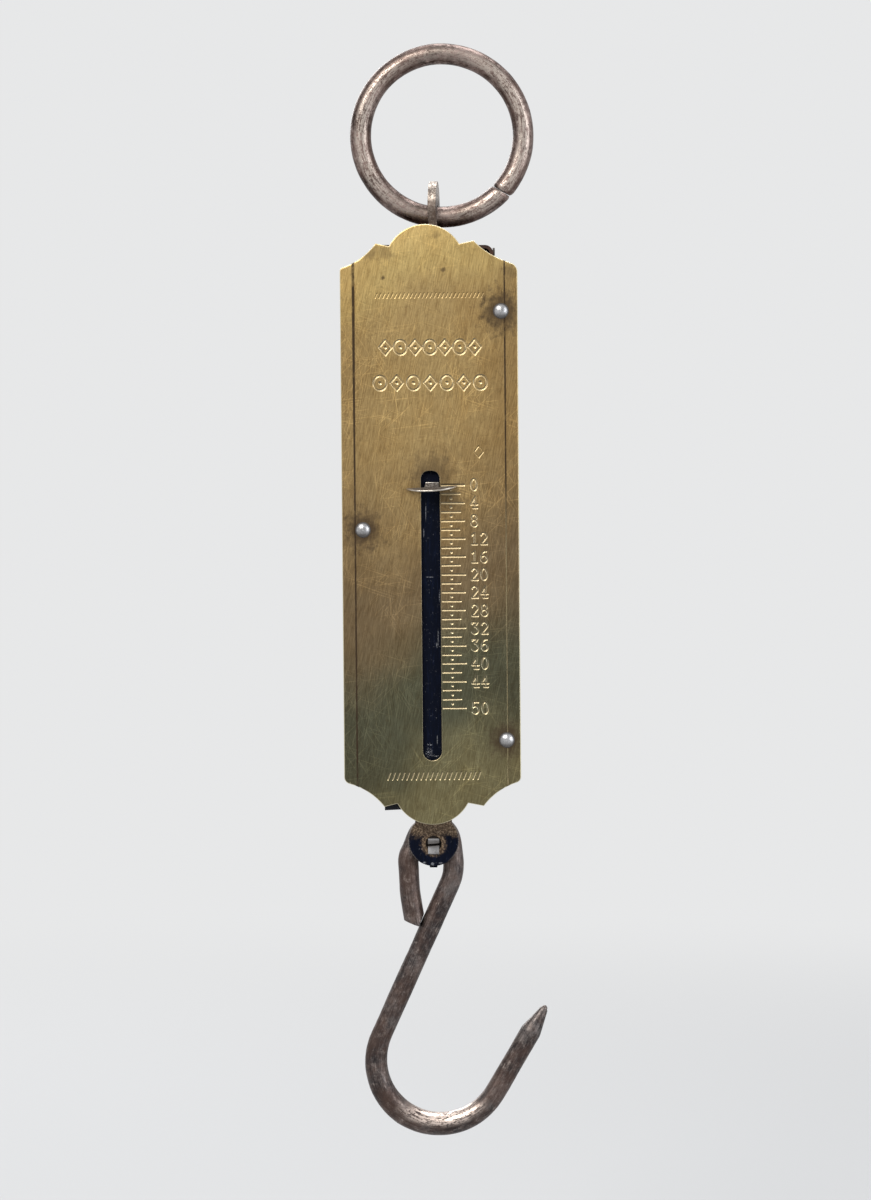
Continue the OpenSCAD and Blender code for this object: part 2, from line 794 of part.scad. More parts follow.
// The hook's route, from its tail to its point: each step is [x, z, heading, radius]
wire_r = hook_wire / 2;
function rod(steps, swell = 0) =
  [for (i = [0:len(steps) - 1]) concat(steps[i], wire_r + swell * sin(180 * (i + 1) / len(steps)))];
shank_way = [-sin(shank_lean), -cos(shank_lean)];
arm_way = [sin(arm_lean), cos(arm_lean)];
neck_end = neck + neck_r * [cos(shank_lean), -sin(shank_lean)];
shank_end = bow + bend_r * [-cos(shank_lean), sin(shank_lean)];
arm_start = bow + bend_r * [cos(arm_lean), -sin(arm_lean)];
taper_at = point - taper * arm_way;
bow_swell = (hook_bend_wire - hook_wire) / 2;
bow_turn = 180 + shank_lean - arm_lean;
function beside_shank(drop, r) =
  neck_end + shank_way * (neck_end[1] - pin_z + drop) / cos(shank_lean)
    - (wire_r + tail_gap + r) * [cos(shank_lean), -sin(shank_lean)];
tail_end = beside_shank(tail_drop, tail_d / 2);
tail_touch = beside_shank(tail_drop - tail_seat, wire_r);
tail_knee = [loop_x - loop_r, loop_z - 1.5];
tail_way = direction(tail_end, tail_touch);
knee_way = direction(tail_touch, tail_knee);
hook_path = concat(
  [[tail_end[0], tail_end[1], tail_way, tail_d / 2]],
  rod([
    [tail_touch[0], tail_touch[1], (tail_way + knee_way) / 2],
    [tail_knee[0], tail_knee[1], (knee_way + 90) / 2],
    [loop_x - loop_r, loop_z, 90]
  ]),
  rod(bend([loop_x - loop_r, loop_z, 90], loop_r, -180, 20)),
  rod([[loop_x + loop_r, neck[1], -90]]),
  rod(bend([loop_x + loop_r, neck[1], -90], neck_r, -shank_lean, 5)),
  rod([[shank_end[0], shank_end[1], -90 - shank_lean]]),
  rod(bend([shank_end[0], shank_end[1], -90 - shank_lean], bend_r, bow_turn, 28), bow_swell),
  rod([[taper_at[0], taper_at[1], 90 - arm_lean]]),
  [
    for (t = [0.25:0.25:0.75])
      let (p = point - taper * (1 - t) * arm_way)
      [p[0], p[1], 90 - arm_lean, wire_r + (tip_d / 2 - wire_r) * pow(t, 1.1)]
  ],
  [
    for (a = [20:25:70])
      let (p = point - tip_d / 2 * (1 - sin(a)) * arm_way)
      [p[0], p[1], 90 - arm_lean, tip_d / 2 * cos(a)]
  ]
);
hook_skin = [
  for (i = [0:len(hook_path) - 1], k = [0:HOOK_SIDES - 1])
    let (p = hook_path[i], b = 360 * k / HOOK_SIDES, out = p[3] * cos(b), slant = i == 0 ? tan(tail_cut) : 0)
    [
      p[0] - out * sin(p[2]) - out * slant * cos(p[2]),
      p[3] * sin(b),
      p[1] + out * cos(p[2]) - out * slant * sin(p[2])
    ]
];

module hook() {
  color("#6e6558")
    polyhedron(hook_skin, tube_faces(len(hook_path) - 1, HOOK_SIDES));
}

ring();
hanger();
cross_pin();
face_plate();
rear_case();
rivet_upper();
rivet_middle();
rivet_lower();
lower_guide();
guide_rivet_left();
guide_rivet_right();
spring();
spring_foot();
draw_bar();
pointer();
hook_pin();
tab_washer();
hook();
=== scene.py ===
import json
from math import asin, atan, atan2, cos, degrees, exp, hypot, pi, radians, sin, sqrt, tan

import bmesh
import bpy
import numpy as np
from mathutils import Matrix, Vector
from mathutils.geometry import delaunay_2d_cdt


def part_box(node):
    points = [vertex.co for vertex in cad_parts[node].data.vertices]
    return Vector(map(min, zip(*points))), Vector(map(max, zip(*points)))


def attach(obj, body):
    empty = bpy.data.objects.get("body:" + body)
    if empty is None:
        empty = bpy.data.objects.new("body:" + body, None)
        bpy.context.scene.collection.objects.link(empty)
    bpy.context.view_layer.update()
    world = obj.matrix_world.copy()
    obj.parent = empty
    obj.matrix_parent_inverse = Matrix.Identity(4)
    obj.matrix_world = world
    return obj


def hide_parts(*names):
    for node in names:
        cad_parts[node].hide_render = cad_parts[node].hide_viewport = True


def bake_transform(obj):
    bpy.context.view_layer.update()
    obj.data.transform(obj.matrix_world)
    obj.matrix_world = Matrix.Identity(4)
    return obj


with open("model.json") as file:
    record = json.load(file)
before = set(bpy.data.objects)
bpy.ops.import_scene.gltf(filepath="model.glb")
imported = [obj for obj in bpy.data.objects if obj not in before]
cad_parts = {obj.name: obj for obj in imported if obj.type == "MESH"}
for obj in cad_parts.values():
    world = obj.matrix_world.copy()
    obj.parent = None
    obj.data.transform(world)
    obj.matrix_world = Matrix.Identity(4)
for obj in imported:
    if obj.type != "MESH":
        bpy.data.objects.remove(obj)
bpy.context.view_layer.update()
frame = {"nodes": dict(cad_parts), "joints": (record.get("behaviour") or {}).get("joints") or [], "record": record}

MM = 0.001
nodes = frame["nodes"]


# Sizes and places in millimetres from the hanging point, read from the frame where it has them
def joint_height(name):
    return next(j for j in frame["joints"] if j["name"] == name)["pos_m"][2] / MM


def box_mm(node):
    low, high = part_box(node)
    return Vector(low) / MM, Vector(high) / MM


WIRE_Z = joint_height("ring_fold")
PIN_Z = joint_height("hook_swing")
ring_low, ring_high = box_mm("ring")
RING_WIRE = ring_high.y - ring_low.y
RING_R = (ring_high.x - ring_low.x - RING_WIRE) / 2
RING_X = (ring_high.x + ring_low.x) / 2
RING_Z = (ring_high.z + ring_low.z) / 2

plate_low, plate_high = box_mm("face_plate")
PLATE_Z = (plate_low.z + plate_high.z) / 2
PLATE_FRONT = plate_low.y
PLATE_BACK = plate_high.y
PLATE_W = 42.98
PLATE_H = 145.6
PLATE_LEFT = 0.72
PLATE_TURN = radians(0.47)
SCORE_X = PLATE_W / 2 - 3.2
CASE_TOP = box_mm("rear_case")[1].z

CAPACITY = 50
MARK_STEP = 54.1 / CAPACITY
ZERO_RISE = 9.7
ZERO_Z = PLATE_Z + ZERO_RISE
SLOT_W = 4.6
SLOT_TOP = ZERO_RISE + 3.5
SLOT_END = ZERO_RISE - CAPACITY * MARK_STEP - 12.8
RIVETS = ((17.4, 51.7), (-16.4, -1.0), (18.1, -52.3))

BLADE_Y = PLATE_FRONT - 0.35
TONGUE_TOP = ZERO_Z + 0.75
DISC_Z = PIN_Z + 0.7
DISC_FRONT = -4.7
BOW = np.array((1.55, PIN_Z - 54.0))
BEND_R = 15.7


def add_object(name, data):
    thing = bpy.data.objects.new(name, data)
    bpy.context.scene.collection.objects.link(thing)
    return thing


# Camera, in metres
VIEW_CENTRE = Vector((0.00046, PLATE_FRONT * MM, -0.1299))
VIEW_DISTANCE = 1.0
VIEW_RISE = radians(2.5)
VIEW_HEIGHT = 0.291
SENSOR = 36


def aim(thing, target):
    thing.rotation_mode = "QUATERNION"
    thing.rotation_quaternion = (Vector(target) - thing.location).to_track_quat("-Z", "Y")


camera = add_object("camera", bpy.data.cameras.new("camera"))
camera.location = VIEW_CENTRE + VIEW_DISTANCE * Vector((0, -cos(VIEW_RISE), sin(VIEW_RISE)))
aim(camera, VIEW_CENTRE)
camera.data.sensor_width = SENSOR
camera.data.lens = SENSOR * VIEW_DISTANCE / VIEW_HEIGHT
camera.data.clip_start = 0.05
camera.data.clip_end = 20
bpy.context.scene.camera = camera


# Shader tools
class Shade:
    """What a shader node puts out, as a value or vector that takes part in sums."""

    def __init__(self, node, output=0):
        self.tree = node.id_data
        self.socket = node.outputs[output]

    def reckon(self, operation, first, second=0.0):
        kind = "VectorMath" if self.socket.type == "VECTOR" else "Math"
        return made(kind, {0: first, 1: second}, operation=operation)

    def __add__(self, other):
        return self.reckon("ADD", self, other)

    def __sub__(self, other):
        return self.reckon("SUBTRACT", self, other)

    def __rsub__(self, other):
        return self.reckon("SUBTRACT", other, self)

    def __mul__(self, other):
        return self.reckon("MULTIPLY", self, other)

    def __truediv__(self, other):
        return self.reckon("DIVIDE", self, other)

    def __abs__(self):
        return self.reckon("ABSOLUTE", self)


def give(socket, value):
    """Link a node's input to what feeds it, or set its plain value; a colour gets its alpha."""
    if isinstance(value, Shade):
        value.tree.links.new(value.socket, socket)
    else:
        socket.default_value = (*value, 1.0) if socket.type == "RGBA" else value


def put(tree, kind, inputs=None, **settings):
    node = tree.nodes.new("ShaderNode" + kind)
    for name, value in settings.items():
        setattr(node, name, value)
    for key, value in (inputs or {}).items():
        give(node.inputs[key], value)
    return node


def made(kind, inputs, output=0, **settings):
    """What a new node puts out, in the tree of the inputs that are linked."""
    tree = next(value.tree for value in inputs.values() if isinstance(value, Shade))
    return Shade(put(tree, kind, inputs, **settings), output)


def highest(*values):
    total = values[0]
    for value in values[1:]:
        total = total.reckon("MAXIMUM", total, value)
    return total


def lowest(first, second):
    return first.reckon("MINIMUM", first, second)


def length(vector):
    return made("VectorMath", {0: vector}, "Value", operation="LENGTH")


def axis(vector, name):
    return made("SeparateXYZ", {0: vector}, name)


def between(value, low, high, out_low=0.0, out_high=1.0):
    """A smooth step from out_low to out_high while the value goes from low to high."""
    ends = {"From Min": low, "From Max": high, "To Min": out_low, "To Max": out_high}
    return made("MapRange", {"Value": value, **ends}, interpolation_type="SMOOTHSTEP")


def noise(at, scale, detail=4.0, rough=0.55, warp=0.0):
    look = {"Scale": scale, "Detail": detail, "Roughness": rough, "Distortion": warp}
    return made("TexNoise", {"Vector": at, **look}, "Fac")


def stretch(at, scale=(1, 1, 1), turn=(0, 0, 0), move=(0, 0, 0)):
    return made("Mapping", {"Vector": at, "Scale": scale, "Rotation": turn, "Location": move})


def own_normal(at, name):
    """One part of the normal in the piece's own directions."""
    return axis(Shade(put(at.tree, "TexCoord"), "Normal"), name)


def painted(colour, *layers, mode="MIX"):
    """The colour with layers of (mask, tone) laid over it one by one."""
    for mask, tone in layers:
        colour = made("Mix", {0: mask, 6: colour, 7: tone}, 2, data_type="RGBA", blend_type=mode)
    return colour


def shader_group(name, build, **values):
    """A node group with a place and named values as its inputs; build gives its outputs by name."""
    tree = bpy.data.node_groups.new(name, "ShaderNodeTree")
    inputs = {"Vector": (0.0, 0.0, 0.0), **values}
    for label, value in inputs.items():
        kind = "NodeSocketFloat" if isinstance(value, float) else "NodeSocketVector"
        tree.interface.new_socket(label, in_out="INPUT", socket_type=kind).default_value = value
    start = tree.nodes.new("NodeGroupInput")
    outputs = build(*(Shade(start, label) for label in inputs))
    for label in outputs:
        tree.interface.new_socket(label, in_out="OUTPUT", socket_type="NodeSocketFloat")
    end = tree.nodes.new("NodeGroupOutput")
    for label, value in outputs.items():
        give(end.inputs[label], value)
    return tree


def use(group, at, **values):
    """What a group puts out in a material, for a place and the material's own values."""
    node = put(at.tree, "Group", {"Vector": at, **values}, node_tree=group)
    return [Shade(node, k) for k in range(len(node.outputs))]


def front_distance(at, point):
    """How far a place is from a point as seen from the front."""
    return length((at - point) * (1, 0, 1))


def brushed_grain(at, scale):
    """Fine lines that run a little off the upright, as a wire brush leaves them."""
    slanted = stretch(at, turn=(0, radians(-11), 0))
    fine = noise(stretch(slanted, (1, 1, 0.07)), scale, 3, 0.6)
    broad = noise(stretch(slanted, (0.16, 0.16, 0.05)), scale, 4, 0.6, 0.4)
    return {"Fine": fine, "Broad": broad}


def hairline_scratches(at, amount):
    """Straight scratches from stretched noise, and long bowed ones from parts of circles."""
    lines = []
    for k, turn in enumerate((0.55, -0.8, 1.25, -1.45, 0.12, -0.25)):
        turned = stretch(at, turn=(0, turn, 0), move=(0.013 * k, 0, 0.02 * k))
        lines.append(between(noise(stretch(turned, (1, 1, 0.02)), 4600.0, 0), 0.72, 0.8))
    arcs = np.random.default_rng(11)
    for _ in range(16):
        radius = arcs.uniform(0.012, 0.07)
        way = arcs.uniform(0, 2 * pi)
        through = Vector((arcs.uniform(-0.018, 0.018), 0, (PLATE_Z + arcs.uniform(-60, 60)) * MM))
        centre = through + radius * Vector((cos(way), 0, sin(way)))
        bowed = between(abs(front_distance(at, centre) - radius), 0.00009, 0.00003)
        lines.append(bowed * between(length(at - through), arcs.uniform(0.01, 0.024), 0.004, 0, 0.9))
    patchy = between(noise(at, 75.0, 3), 0.4, 0.58, 0.15, 1.0)
    return {"Scratches": highest(*lines) * patchy * amount}


def grime(at, centre, reach, amount):
    """Soft dirt round one point, ragged at its edge."""
    far = front_distance(at, centre) * (noise(at, 650.0, 6, 0.72) * 2.6 - 0.3) / reach
    return {"Grime": between(far, 1.05, 0.25) * amount}


def blotches_and_specks(at, scale):
    """Blotches at two sizes, and the specks between them."""
    large = noise(at, scale, 5, 0.6, 0.4)
    small = noise(at, scale * 6.3, 4, 0.6)
    both = large * 0.65 + small * 0.35
    return {"Blotches": between(both, 0.38, 0.62), "Specks": between(small, 0.53, 0.66)}


def pitted_steel(at, scale):
    """Pits of old steel, with the height that a Bump node takes."""
    cells = made("TexVoronoi", {"Vector": at, "Scale": scale}, "Distance")
    rough = noise(at, scale * 0.45, 5, 0.65)
    pits = between(cells, 0.34, 0.12) * between(rough, 0.45, 0.6)
    return {"Pits": pits, "Height": rough * 0.6 - pits * 0.5}


GRAIN = shader_group("brushed_grain", brushed_grain, Scale=1500.0)
SCRATCHES = shader_group("hairline_scratches", hairline_scratches, Amount=1.0)
GRIME = shader_group("grime", grime, Centre=(0.0, 0.0, 0.0), Reach=0.004, Amount=1.0)
BLOTCHES = shader_group("blotches", blotches_and_specks, Scale=60.0)
PITS = shader_group("pitted_steel", pitted_steel, Scale=1400.0)


def material(name, build):
    """A material whose build function gets the object's own coordinates and the Principled BSDF."""
    m = bpy.data.materials.new(name)
    m.use_nodes = True
    build(Shade(put(m.node_tree, "TexCoord"), "Object"), m.node_tree.nodes["Principled BSDF"])
    return m


def feed(shader, height=None, strength=0.3, depth=0.0001, **sockets):
    """Give the shader its sockets, and its normal from the height where there is one."""
    if height is not None:
        sockets["Normal"] = made("Bump", {"Strength": strength, "Distance": depth, "Height": height})
    for name, value in sockets.items():
        give(shader.inputs[name.replace("_", " ")], value)


# Brass of the face plate
def on_plate(at):
    """The shader's point in the plate's own place, in metres from its middle."""
    moved = at - (-PLATE_LEFT * MM, 0, PLATE_Z * MM)
    return made("VectorRotate", {"Vector": moved, "Angle": PLATE_TURN}, rotation_type="Y_AXIS")


# The brass darkens and greens down the plate, partly as patina and partly as painted shade for light that falls
# from above: the heights of each change, in metres, and its colour
BRASS_TOP = (0.64, 0.465, 0.19)
BRASS_PATINA_AND_SHADE_LEVELS = (
    (0.074, 0.058, (0.52, 0.38, 0.155)), (0.058, 0.046, (0.39, 0.272, 0.118)),
    (0.024, -0.014, (0.216, 0.158, 0.088)), (-0.014, -0.042, (0.1, 0.1, 0.064)),
    (-0.05, -0.068, (0.2, 0.178, 0.096)),
)
# Dirt on the plate: its middle and reach in millimetres, and how dark it is
PLATE_DIRT = (
    (RIVETS[0], 6.8, 0.85), (RIVETS[1], 6.2, 0.85), (RIVETS[2], 5.5, 0.85), ((0.5, SLOT_TOP - 1), 7.2, 0.6),
    ((3.5, ZERO_RISE - 3), 6.0, 0.6), ((-14.5, 66.4), 3.6, 0.5), ((-10.5, 66.0), 3.0, 0.45),
    ((19.7, 61.2), 2.6, 0.5), ((-11.1, 59.9), 0.7, 0.8), ((3.5, 61.7), 0.8, 0.7), ((1.8, 70.1), 1.3, 0.4),
    ((-9, 1), 6.0, 0.12),
)


def brass(at, shader):
    """Brushed brass, browned and greened by levels of patina and painted shade, dirty round the rivets, with
    painted shade and painted highlights on its stamped walls.
    """
    own = on_plate(at)
    x = axis(own, "X")
    z = axis(own, "Z")
    fine, broad = use(GRAIN, own, Scale=3900.0)
    blotches = use(BLOTCHES, stretch(own, (1, 1, 0.55)), Scale=42.0)[0]
    specks = use(BLOTCHES, own, Scale=230.0)[1]
    scratches = use(SCRATCHES, own, Amount=between(z, 0.058, 0.03, 0.22, 0.7))[0]
    wavy = noise(own, 24.0, 3)
    # Darker and greener down the plate and towards its right: patina and painted shade
    patina_and_shade_height = z + (wavy - 0.5) * 0.05 - x * 0.35
    colour = painted(BRASS_TOP, *((between(patina_and_shade_height, high, low), tone) for high, low, tone in BRASS_PATINA_AND_SHADE_LEVELS))
    colour = painted(
        colour, (between(abs(x), 0.006, 0.021, 0, 0.42), (0.64, 0.6, 0.6)),
        (blotches * 0.62, (0.72, 0.66, 0.58)), (between(fine, 0.46, 0.66, 0, 0.5), (0.55, 0.5, 0.44)),
        (between(fine, 0.5, 0.34, 0, 0.42), (1.5, 1.5, 1.45)),
        (between(broad, 0.48, 0.7, 0, 0.4), (0.66, 0.61, 0.55)), (scratches, (1.7, 1.68, 1.6)),
        mode="MULTIPLY",
    )
    dirt = highest(*(
        use(GRIME, own, Centre=(cx * MM, 0, cz * MM), Reach=reach * MM, Amount=amount)[0]
        for (cx, cz), reach, amount in PLATE_DIRT
    ))
    # Dark score lines, cleaned and bared in the lower right
    off_score = abs(abs(x) - SCORE_X * MM)
    wide = between(z - x * 2.5, 0.045, 0.11, 0.00022, 0.00038)
    broken = between(noise(own, 300.0, 3), 0.36, 0.5, 0.6, 0.95)
    cleaned = between(x, 0, 0.002) * between(z, 0.014, -0.006)
    scored = between(off_score / wide, 1.15, 0.75) * broken
    dirt = highest(dirt, scored * (1.0 - cleaned * 0.7))
    bared = between(off_score, 0.00016, 0.00006) * cleaned * broken
    # Stamped walls, with painted shade where they face down and a painted highlight where they face up, as if lit
    # from above and the left
    inner = between(abs(x), 0.0176, 0.017) * between(abs(z), 0.0648, 0.0642)
    tilt = (own_normal(at, "Z") - own_normal(at, "X") * 0.5) * inner
    # Edges worn bright
    behind = axis(at, "Y") - PLATE_FRONT * MM
    edge = lowest(between(own_normal(at, "Y"), -0.97, -0.7), between(behind, 0.00035, 0.0002))
    edge = edge * between(off_score, 0.00034, 0.00046) * (1.0 - inner * 0.5)
    # Dirt, bared score lines and specks, then the painted shade and painted highlight of the stamped walls, then
    # worn edges
    colour = painted(
        colour, (dirt, (0.045, 0.027, 0.014)), (bared * 0.7, (0.36, 0.3, 0.17)),
        (specks * 0.2, (0.06, 0.04, 0.02)), (between(tilt, -0.06, -0.38, 0, 0.85), (0.04, 0.026, 0.013)),
        (between(tilt, 0.12, 0.5, 0, 0.62), (0.8, 0.64, 0.37)), (edge * 0.8, (0.86, 0.78, 0.55)),
    )
    feed(
        shader, fine * 0.7 + wavy * 2.5 - scratches * 0.35, 0.4, 0.00005, Base_Color=colour,
        Roughness=fine * 0.25 + 0.26 + dirt * 0.3 + blotches * 0.08,
        Metallic=0.97 - dirt * 0.75, Specular_IOR_Level=0.2,
    )


# Old steel of the ring, the hook, the hanger and the spring
def old_steel(dark, light, rust, worn, scale, speckle=1500.0, rough_low=0.3, bump=0.5, rubbed=None,
              pitted=0.6, drawn=False):
    """Patinated steel: finely speckled dark and light, with rust tinges, pits and places rubbed bright, which on
    the ring also stand as a painted highlight.
    Drawn wire has its speckle pulled out along the rod."""
    def build(at, shader):
        blotches, specks = use(BLOTCHES, at, Scale=scale)
        tinge = use(BLOTCHES, stretch(at, move=(0.4, 0.1, 0.2)), Scale=scale * 0.6)[0]
        pits, height = use(PITS, at, Scale=speckle)
        fine = noise(at, speckle, 3, 0.7)
        if drawn:
            rod = Shade(put(at.tree, "Attribute", attribute_name="rod"), "Vector")
            lines = noise(stretch(rod, (0.14, 1, 1)), speckle * 1.4, 4, 0.7)
            fine = fine * 0.5 + lines * 0.9 - 0.2
        # Bright specks and rubbed places in the worn tone; on the ring the rubbed faces are also a painted
        # highlight
        bright = specks * between(fine, 0.5, 0.62, 0, 0.2 if drawn else 0.5)
        if rubbed:
            shown = between(fine, 0.58 if drawn else 0.62, 0.46 if drawn else 0.42)
            bright = highest(bright, rubbed(at) * shown)
        colour = painted(
            dark, (between(fine * 1.1 + blotches * 0.3, 0.52, 1.0), light), (tinge * 0.45, rust),
            (bright, worn), (pits * pitted, (0.03, 0.022, 0.018)),
        )
        rough = fine * 0.25 + rough_low - bright * 0.14 + pits * 0.2
        feed(shader, height, bump, 0.00016, Base_Color=colour, Roughness=rough, Metallic=0.96 - tinge * 0.25)
    return build


def rubbed_faces(at):
    """The ring's two faces, rubbed and given a painted highlight as of light from the front, brighter than its
    inside and outside, most at its left and right.
    """
    sides = between(abs(axis(at, "X")), 0.004, 0.017, 0.3, 0.7)
    return between(abs(own_normal(at, "Y")), 0.7, 1.0) * sides


def rubbed_eye(at):
    """The crown of the hanger's eye, rubbed bright."""
    ragged = axis(at, "Z") + noise(at, 500.0, 3) * 0.003
    return between(ragged, (WIRE_Z + 4.6) * MM, (WIRE_Z + 6.4) * MM)


def rubbed_bow(at):
    """Where loads have rubbed the hook: on the upper side of its bend."""
    off = at - ((BOW[0] + 1) * MM, -0.001, (BOW[1] - BEND_R + 1.2) * MM)
    ragged = length(off * (0.62, 1, 1.2)) + noise(at, 320.0, 3) * 0.006
    return between(ragged, 0.0125, 0.0065) * between(own_normal(at, "Z"), -0.35, 0.3)


# Black japan of the case, the guide, the draw bar and the washer
def black_japan(base, scuff, scale, rust=None, gloss=0.3, worn_share=0.8, sheen=3.0, tanned=None,
                shine=0.16):
    """Black stoving enamel on iron: scuffed through to steel, chipped and dulled."""
    def build(at, shader):
        blotches, specks = use(BLOTCHES, at, Scale=scale)
        fine = noise(at, scale * 14, 4, 0.7)
        worn = specks * between(fine, 0.56, 0.68, 0, worn_share)
        streaks = noise(stretch(at, (1, 1, 0.08)), scale * 22, 3, 0.6)
        colour = painted(base, (between(streaks, 0.5, 0.75, 0, 0.5), [sheen * c for c in base]))
        if rust:
            tinge = use(BLOTCHES, stretch(at, move=(0.2, 0.3, 0.1)), Scale=scale * 0.6)[0]
            colour = painted(colour, (tinge * 0.55, rust))
        if tanned:
            colour, worn = tanned(at, colour, worn, fine)
        feed(
            shader, fine - worn, 0.25, 0.00006, Base_Color=painted(colour, (worn, scuff)),
            Roughness=fine * 0.28 + gloss + blotches * 0.12, Metallic=worn * 0.9,
            Specular_IOR_Level=shine,
        )
    return build


def scuffs(at, marks, low=0.35, high=0.6):
    """Short marks on the front, each by its middle and its half sizes across and up, in millimetres."""
    shown = []
    for x, z, wide, tall in marks:
        off = (at - (x * MM, 0, z * MM)) * (1 / (wide * MM), 0, 1 / (tall * MM))
        shown.append(between(length(off), 1.2, 0.6))
    return highest(*shown) * between(noise(at, 3500.0, 3, 0.7), low, high)


BAR_SCUFFS = (
    (-0.9, -124.4, 0.95, 0.13), (1.1, -139.2, 0.12, 2.2), (0.8, -141.0, 0.2, 0.7), (-2.4, -113.7, 0.14, 1.1),
    (-1.9, -108.5, 0.1, 2.4), (1.4, -129.0, 0.1, 1.6), (0.9, -164.0, 0.12, 1.2),
    (-2.2, -194.31, 0.42, 0.22), (-0.27, -194.67, 0.42, 0.42), (1.75, -194.43, 0.5, 0.2),
)
SLOT_CRUMBS = ((-1.1, -167.1, 0.9, 1.2), (-0.9, -165.1, 0.7, 0.35), (0.4, -167.9, 0.8, 0.3))


def worn_disc(at, colour, worn, fine):
    """The draw bar's round end, rubbed brown under the plate and round the pin, with a few scuffs."""
    up = axis(at, "Z") - DISC_Z * MM
    above = between(up + noise(at, 380.0, 4, 0.6) * 0.005, 0.0028, 0.0052) * between(up, 0.013, 0.008)
    from_pin = front_distance(at, (0, 0, PIN_Z * MM)) - fine * 0.0016
    brown = highest(above * 0.9, between(from_pin, 0.0027, 0.0014))
    rim = between(front_distance(at, (0, 0, DISC_Z * MM)), 0.0059, 0.00615)
    rim = rim * between(fine, 0.4, 0.6, 0.15, 0.7)
    colour = painted(
        colour, (brown, (0.1, 0.068, 0.045)), (brown * between(fine, 0.46, 0.62), (0.32, 0.23, 0.15)),
        (rim * between(abs(up), 0.0052, 0.004), (0.27, 0.23, 0.2)),
    )
    marks = highest(scuffs(at, SLOT_CRUMBS, 0.52, 0.62) * 0.9, scuffs(at, BAR_SCUFFS) * 0.55)
    return colour, highest(worn, marks)


# Bright steel of the pins, the rivets and the pointer
def bright_steel(tone, scale, speckled, grime_and_shade, dirt=(0.045, 0.036, 0.03)):
    """Bright steel, speckled with old dirt, darkened and dulled by a mask of dirt that on the pin and the rivets
    also holds painted shade.
    """
    def build(at, shader):
        blotches = use(BLOTCHES, at, Scale=scale)[0]
        fine = noise(at, scale * 9, 4, 0.7)
        # Dirt, and painted shade in the pin's hole and on the rivets' lower sides
        dirt_and_shade_share = grime_and_shade(at, fine)
        colour = painted(
            tone, (blotches, [0.6 * c for c in tone]),
            (between(fine, 0.53, 0.72, 0, speckled), (0.07, 0.055, 0.045)), (dirt_and_shade_share, dirt),
        )
        feed(
            shader, fine, 0.3, 0.00006, Base_Color=colour, Roughness=fine * 0.3 + 0.17 + dirt_and_shade_share * 0.3,
            Metallic=0.97 - dirt_and_shade_share * 0.8, Specular_IOR_Level=0.2,
        )
    return build


def sunk_pin(at, fine):
    """Dirt and painted shade in the hole round the pin's legs and beside the slit between them."""
    hole = between(axis(at, "Y"), (DISC_FRONT - 0.05) * MM, (DISC_FRONT + 0.2) * MM)
    from_slit = abs(axis(at, "Z") - (PIN_Z + 0.1) * MM) + fine * 0.0006
    return highest(hole, between(from_slit, 0.0018, 0.0007, 0, 0.75))


def blade_top(at, fine):
    """Dirt on top of the pointer's blade and on its tongue, up to the tongue's bright upper edge."""
    top = between(own_normal(at, "Z"), 0.5, 0.85)
    tongue = between(axis(at, "Y"), (BLADE_Y - 0.12) * MM, (BLADE_Y - 0.02) * MM)
    edge = between(axis(at, "Z"), (TONGUE_TOP - 0.1) * MM, (TONGUE_TOP - 0.24) * MM)
    return highest(top, tongue) * edge * between(fine, 0.62, 0.46, 0.5, 0.96)


def rivet_foot(at, fine):
    """Dirt round the foot of the domed heads, and painted shade on their lower side, where they face down."""
    foot = between(axis(at, "Y") + fine * 0.0005, (PLATE_FRONT - 0.3) * MM, PLATE_FRONT * MM, 0, 0.85)
    return highest(foot, between(own_normal(at, "Z") + fine * 0.5, 0.2, -0.35, 0, 0.75))


# Finishes by the record's material slots: each steel's dark, light, rust and worn tones and each japan's
# base and scuff come first, then how fine its blotches are
FINISHES = {
    "brass_plate": brass,
    # The ring's worn tone also colours the painted highlight on its faces
    "ring_steel": old_steel(
        (0.03, 0.018, 0.014), (0.28, 0.215, 0.195), (0.15, 0.085, 0.066), (0.66, 0.57, 0.5), 150.0,
        speckle=1700.0, bump=0.6, rubbed=rubbed_faces, drawn=True),
    "hook_steel": old_steel(
        (0.03, 0.027, 0.028), (0.155, 0.135, 0.128), (0.115, 0.06, 0.04), (0.72, 0.6, 0.53), 110.0,
        speckle=2000.0, rough_low=0.33, bump=0.4, rubbed=rubbed_bow, pitted=0.2, drawn=True),
    "hanger_steel": old_steel(
        (0.05, 0.038, 0.032), (0.19, 0.16, 0.14), (0.11, 0.07, 0.05), (0.4, 0.345, 0.3), 260.0,
        rough_low=0.38, rubbed=rubbed_eye),
    "spring_steel": old_steel(
        (0.05, 0.046, 0.046), (0.2, 0.19, 0.19), (0.1, 0.06, 0.04), (0.4, 0.39, 0.38), 160.0,
        speckle=1800.0, rough_low=0.2, bump=0.3),
    "case_iron": black_japan(
        (0.018, 0.016, 0.016), (0.3, 0.26, 0.22), 60.0, rust=(0.13, 0.05, 0.025), gloss=0.32),
    "guide_iron": black_japan((0.008, 0.009, 0.013), (0.28, 0.27, 0.26), 150.0),
    "bar_black": black_japan(
        (0.0016, 0.003, 0.009), (0.36, 0.37, 0.4), 170.0, worn_share=0.35, sheen=4.0,
        tanned=worn_disc, shine=0.06),
    "rivet_steel": bright_steel((0.5, 0.5, 0.51), 420.0, 0.5, rivet_foot),
    "pointer_steel": bright_steel((0.7, 0.645, 0.57), 300.0, 0.6, blade_top, (0.06, 0.046, 0.037)),
    "pin_steel": bright_steel((0.5, 0.49, 0.49), 380.0, 0.7, sunk_pin),
}
MATERIALS = {slot: material(slot, build) for slot, build in FINISHES.items()}
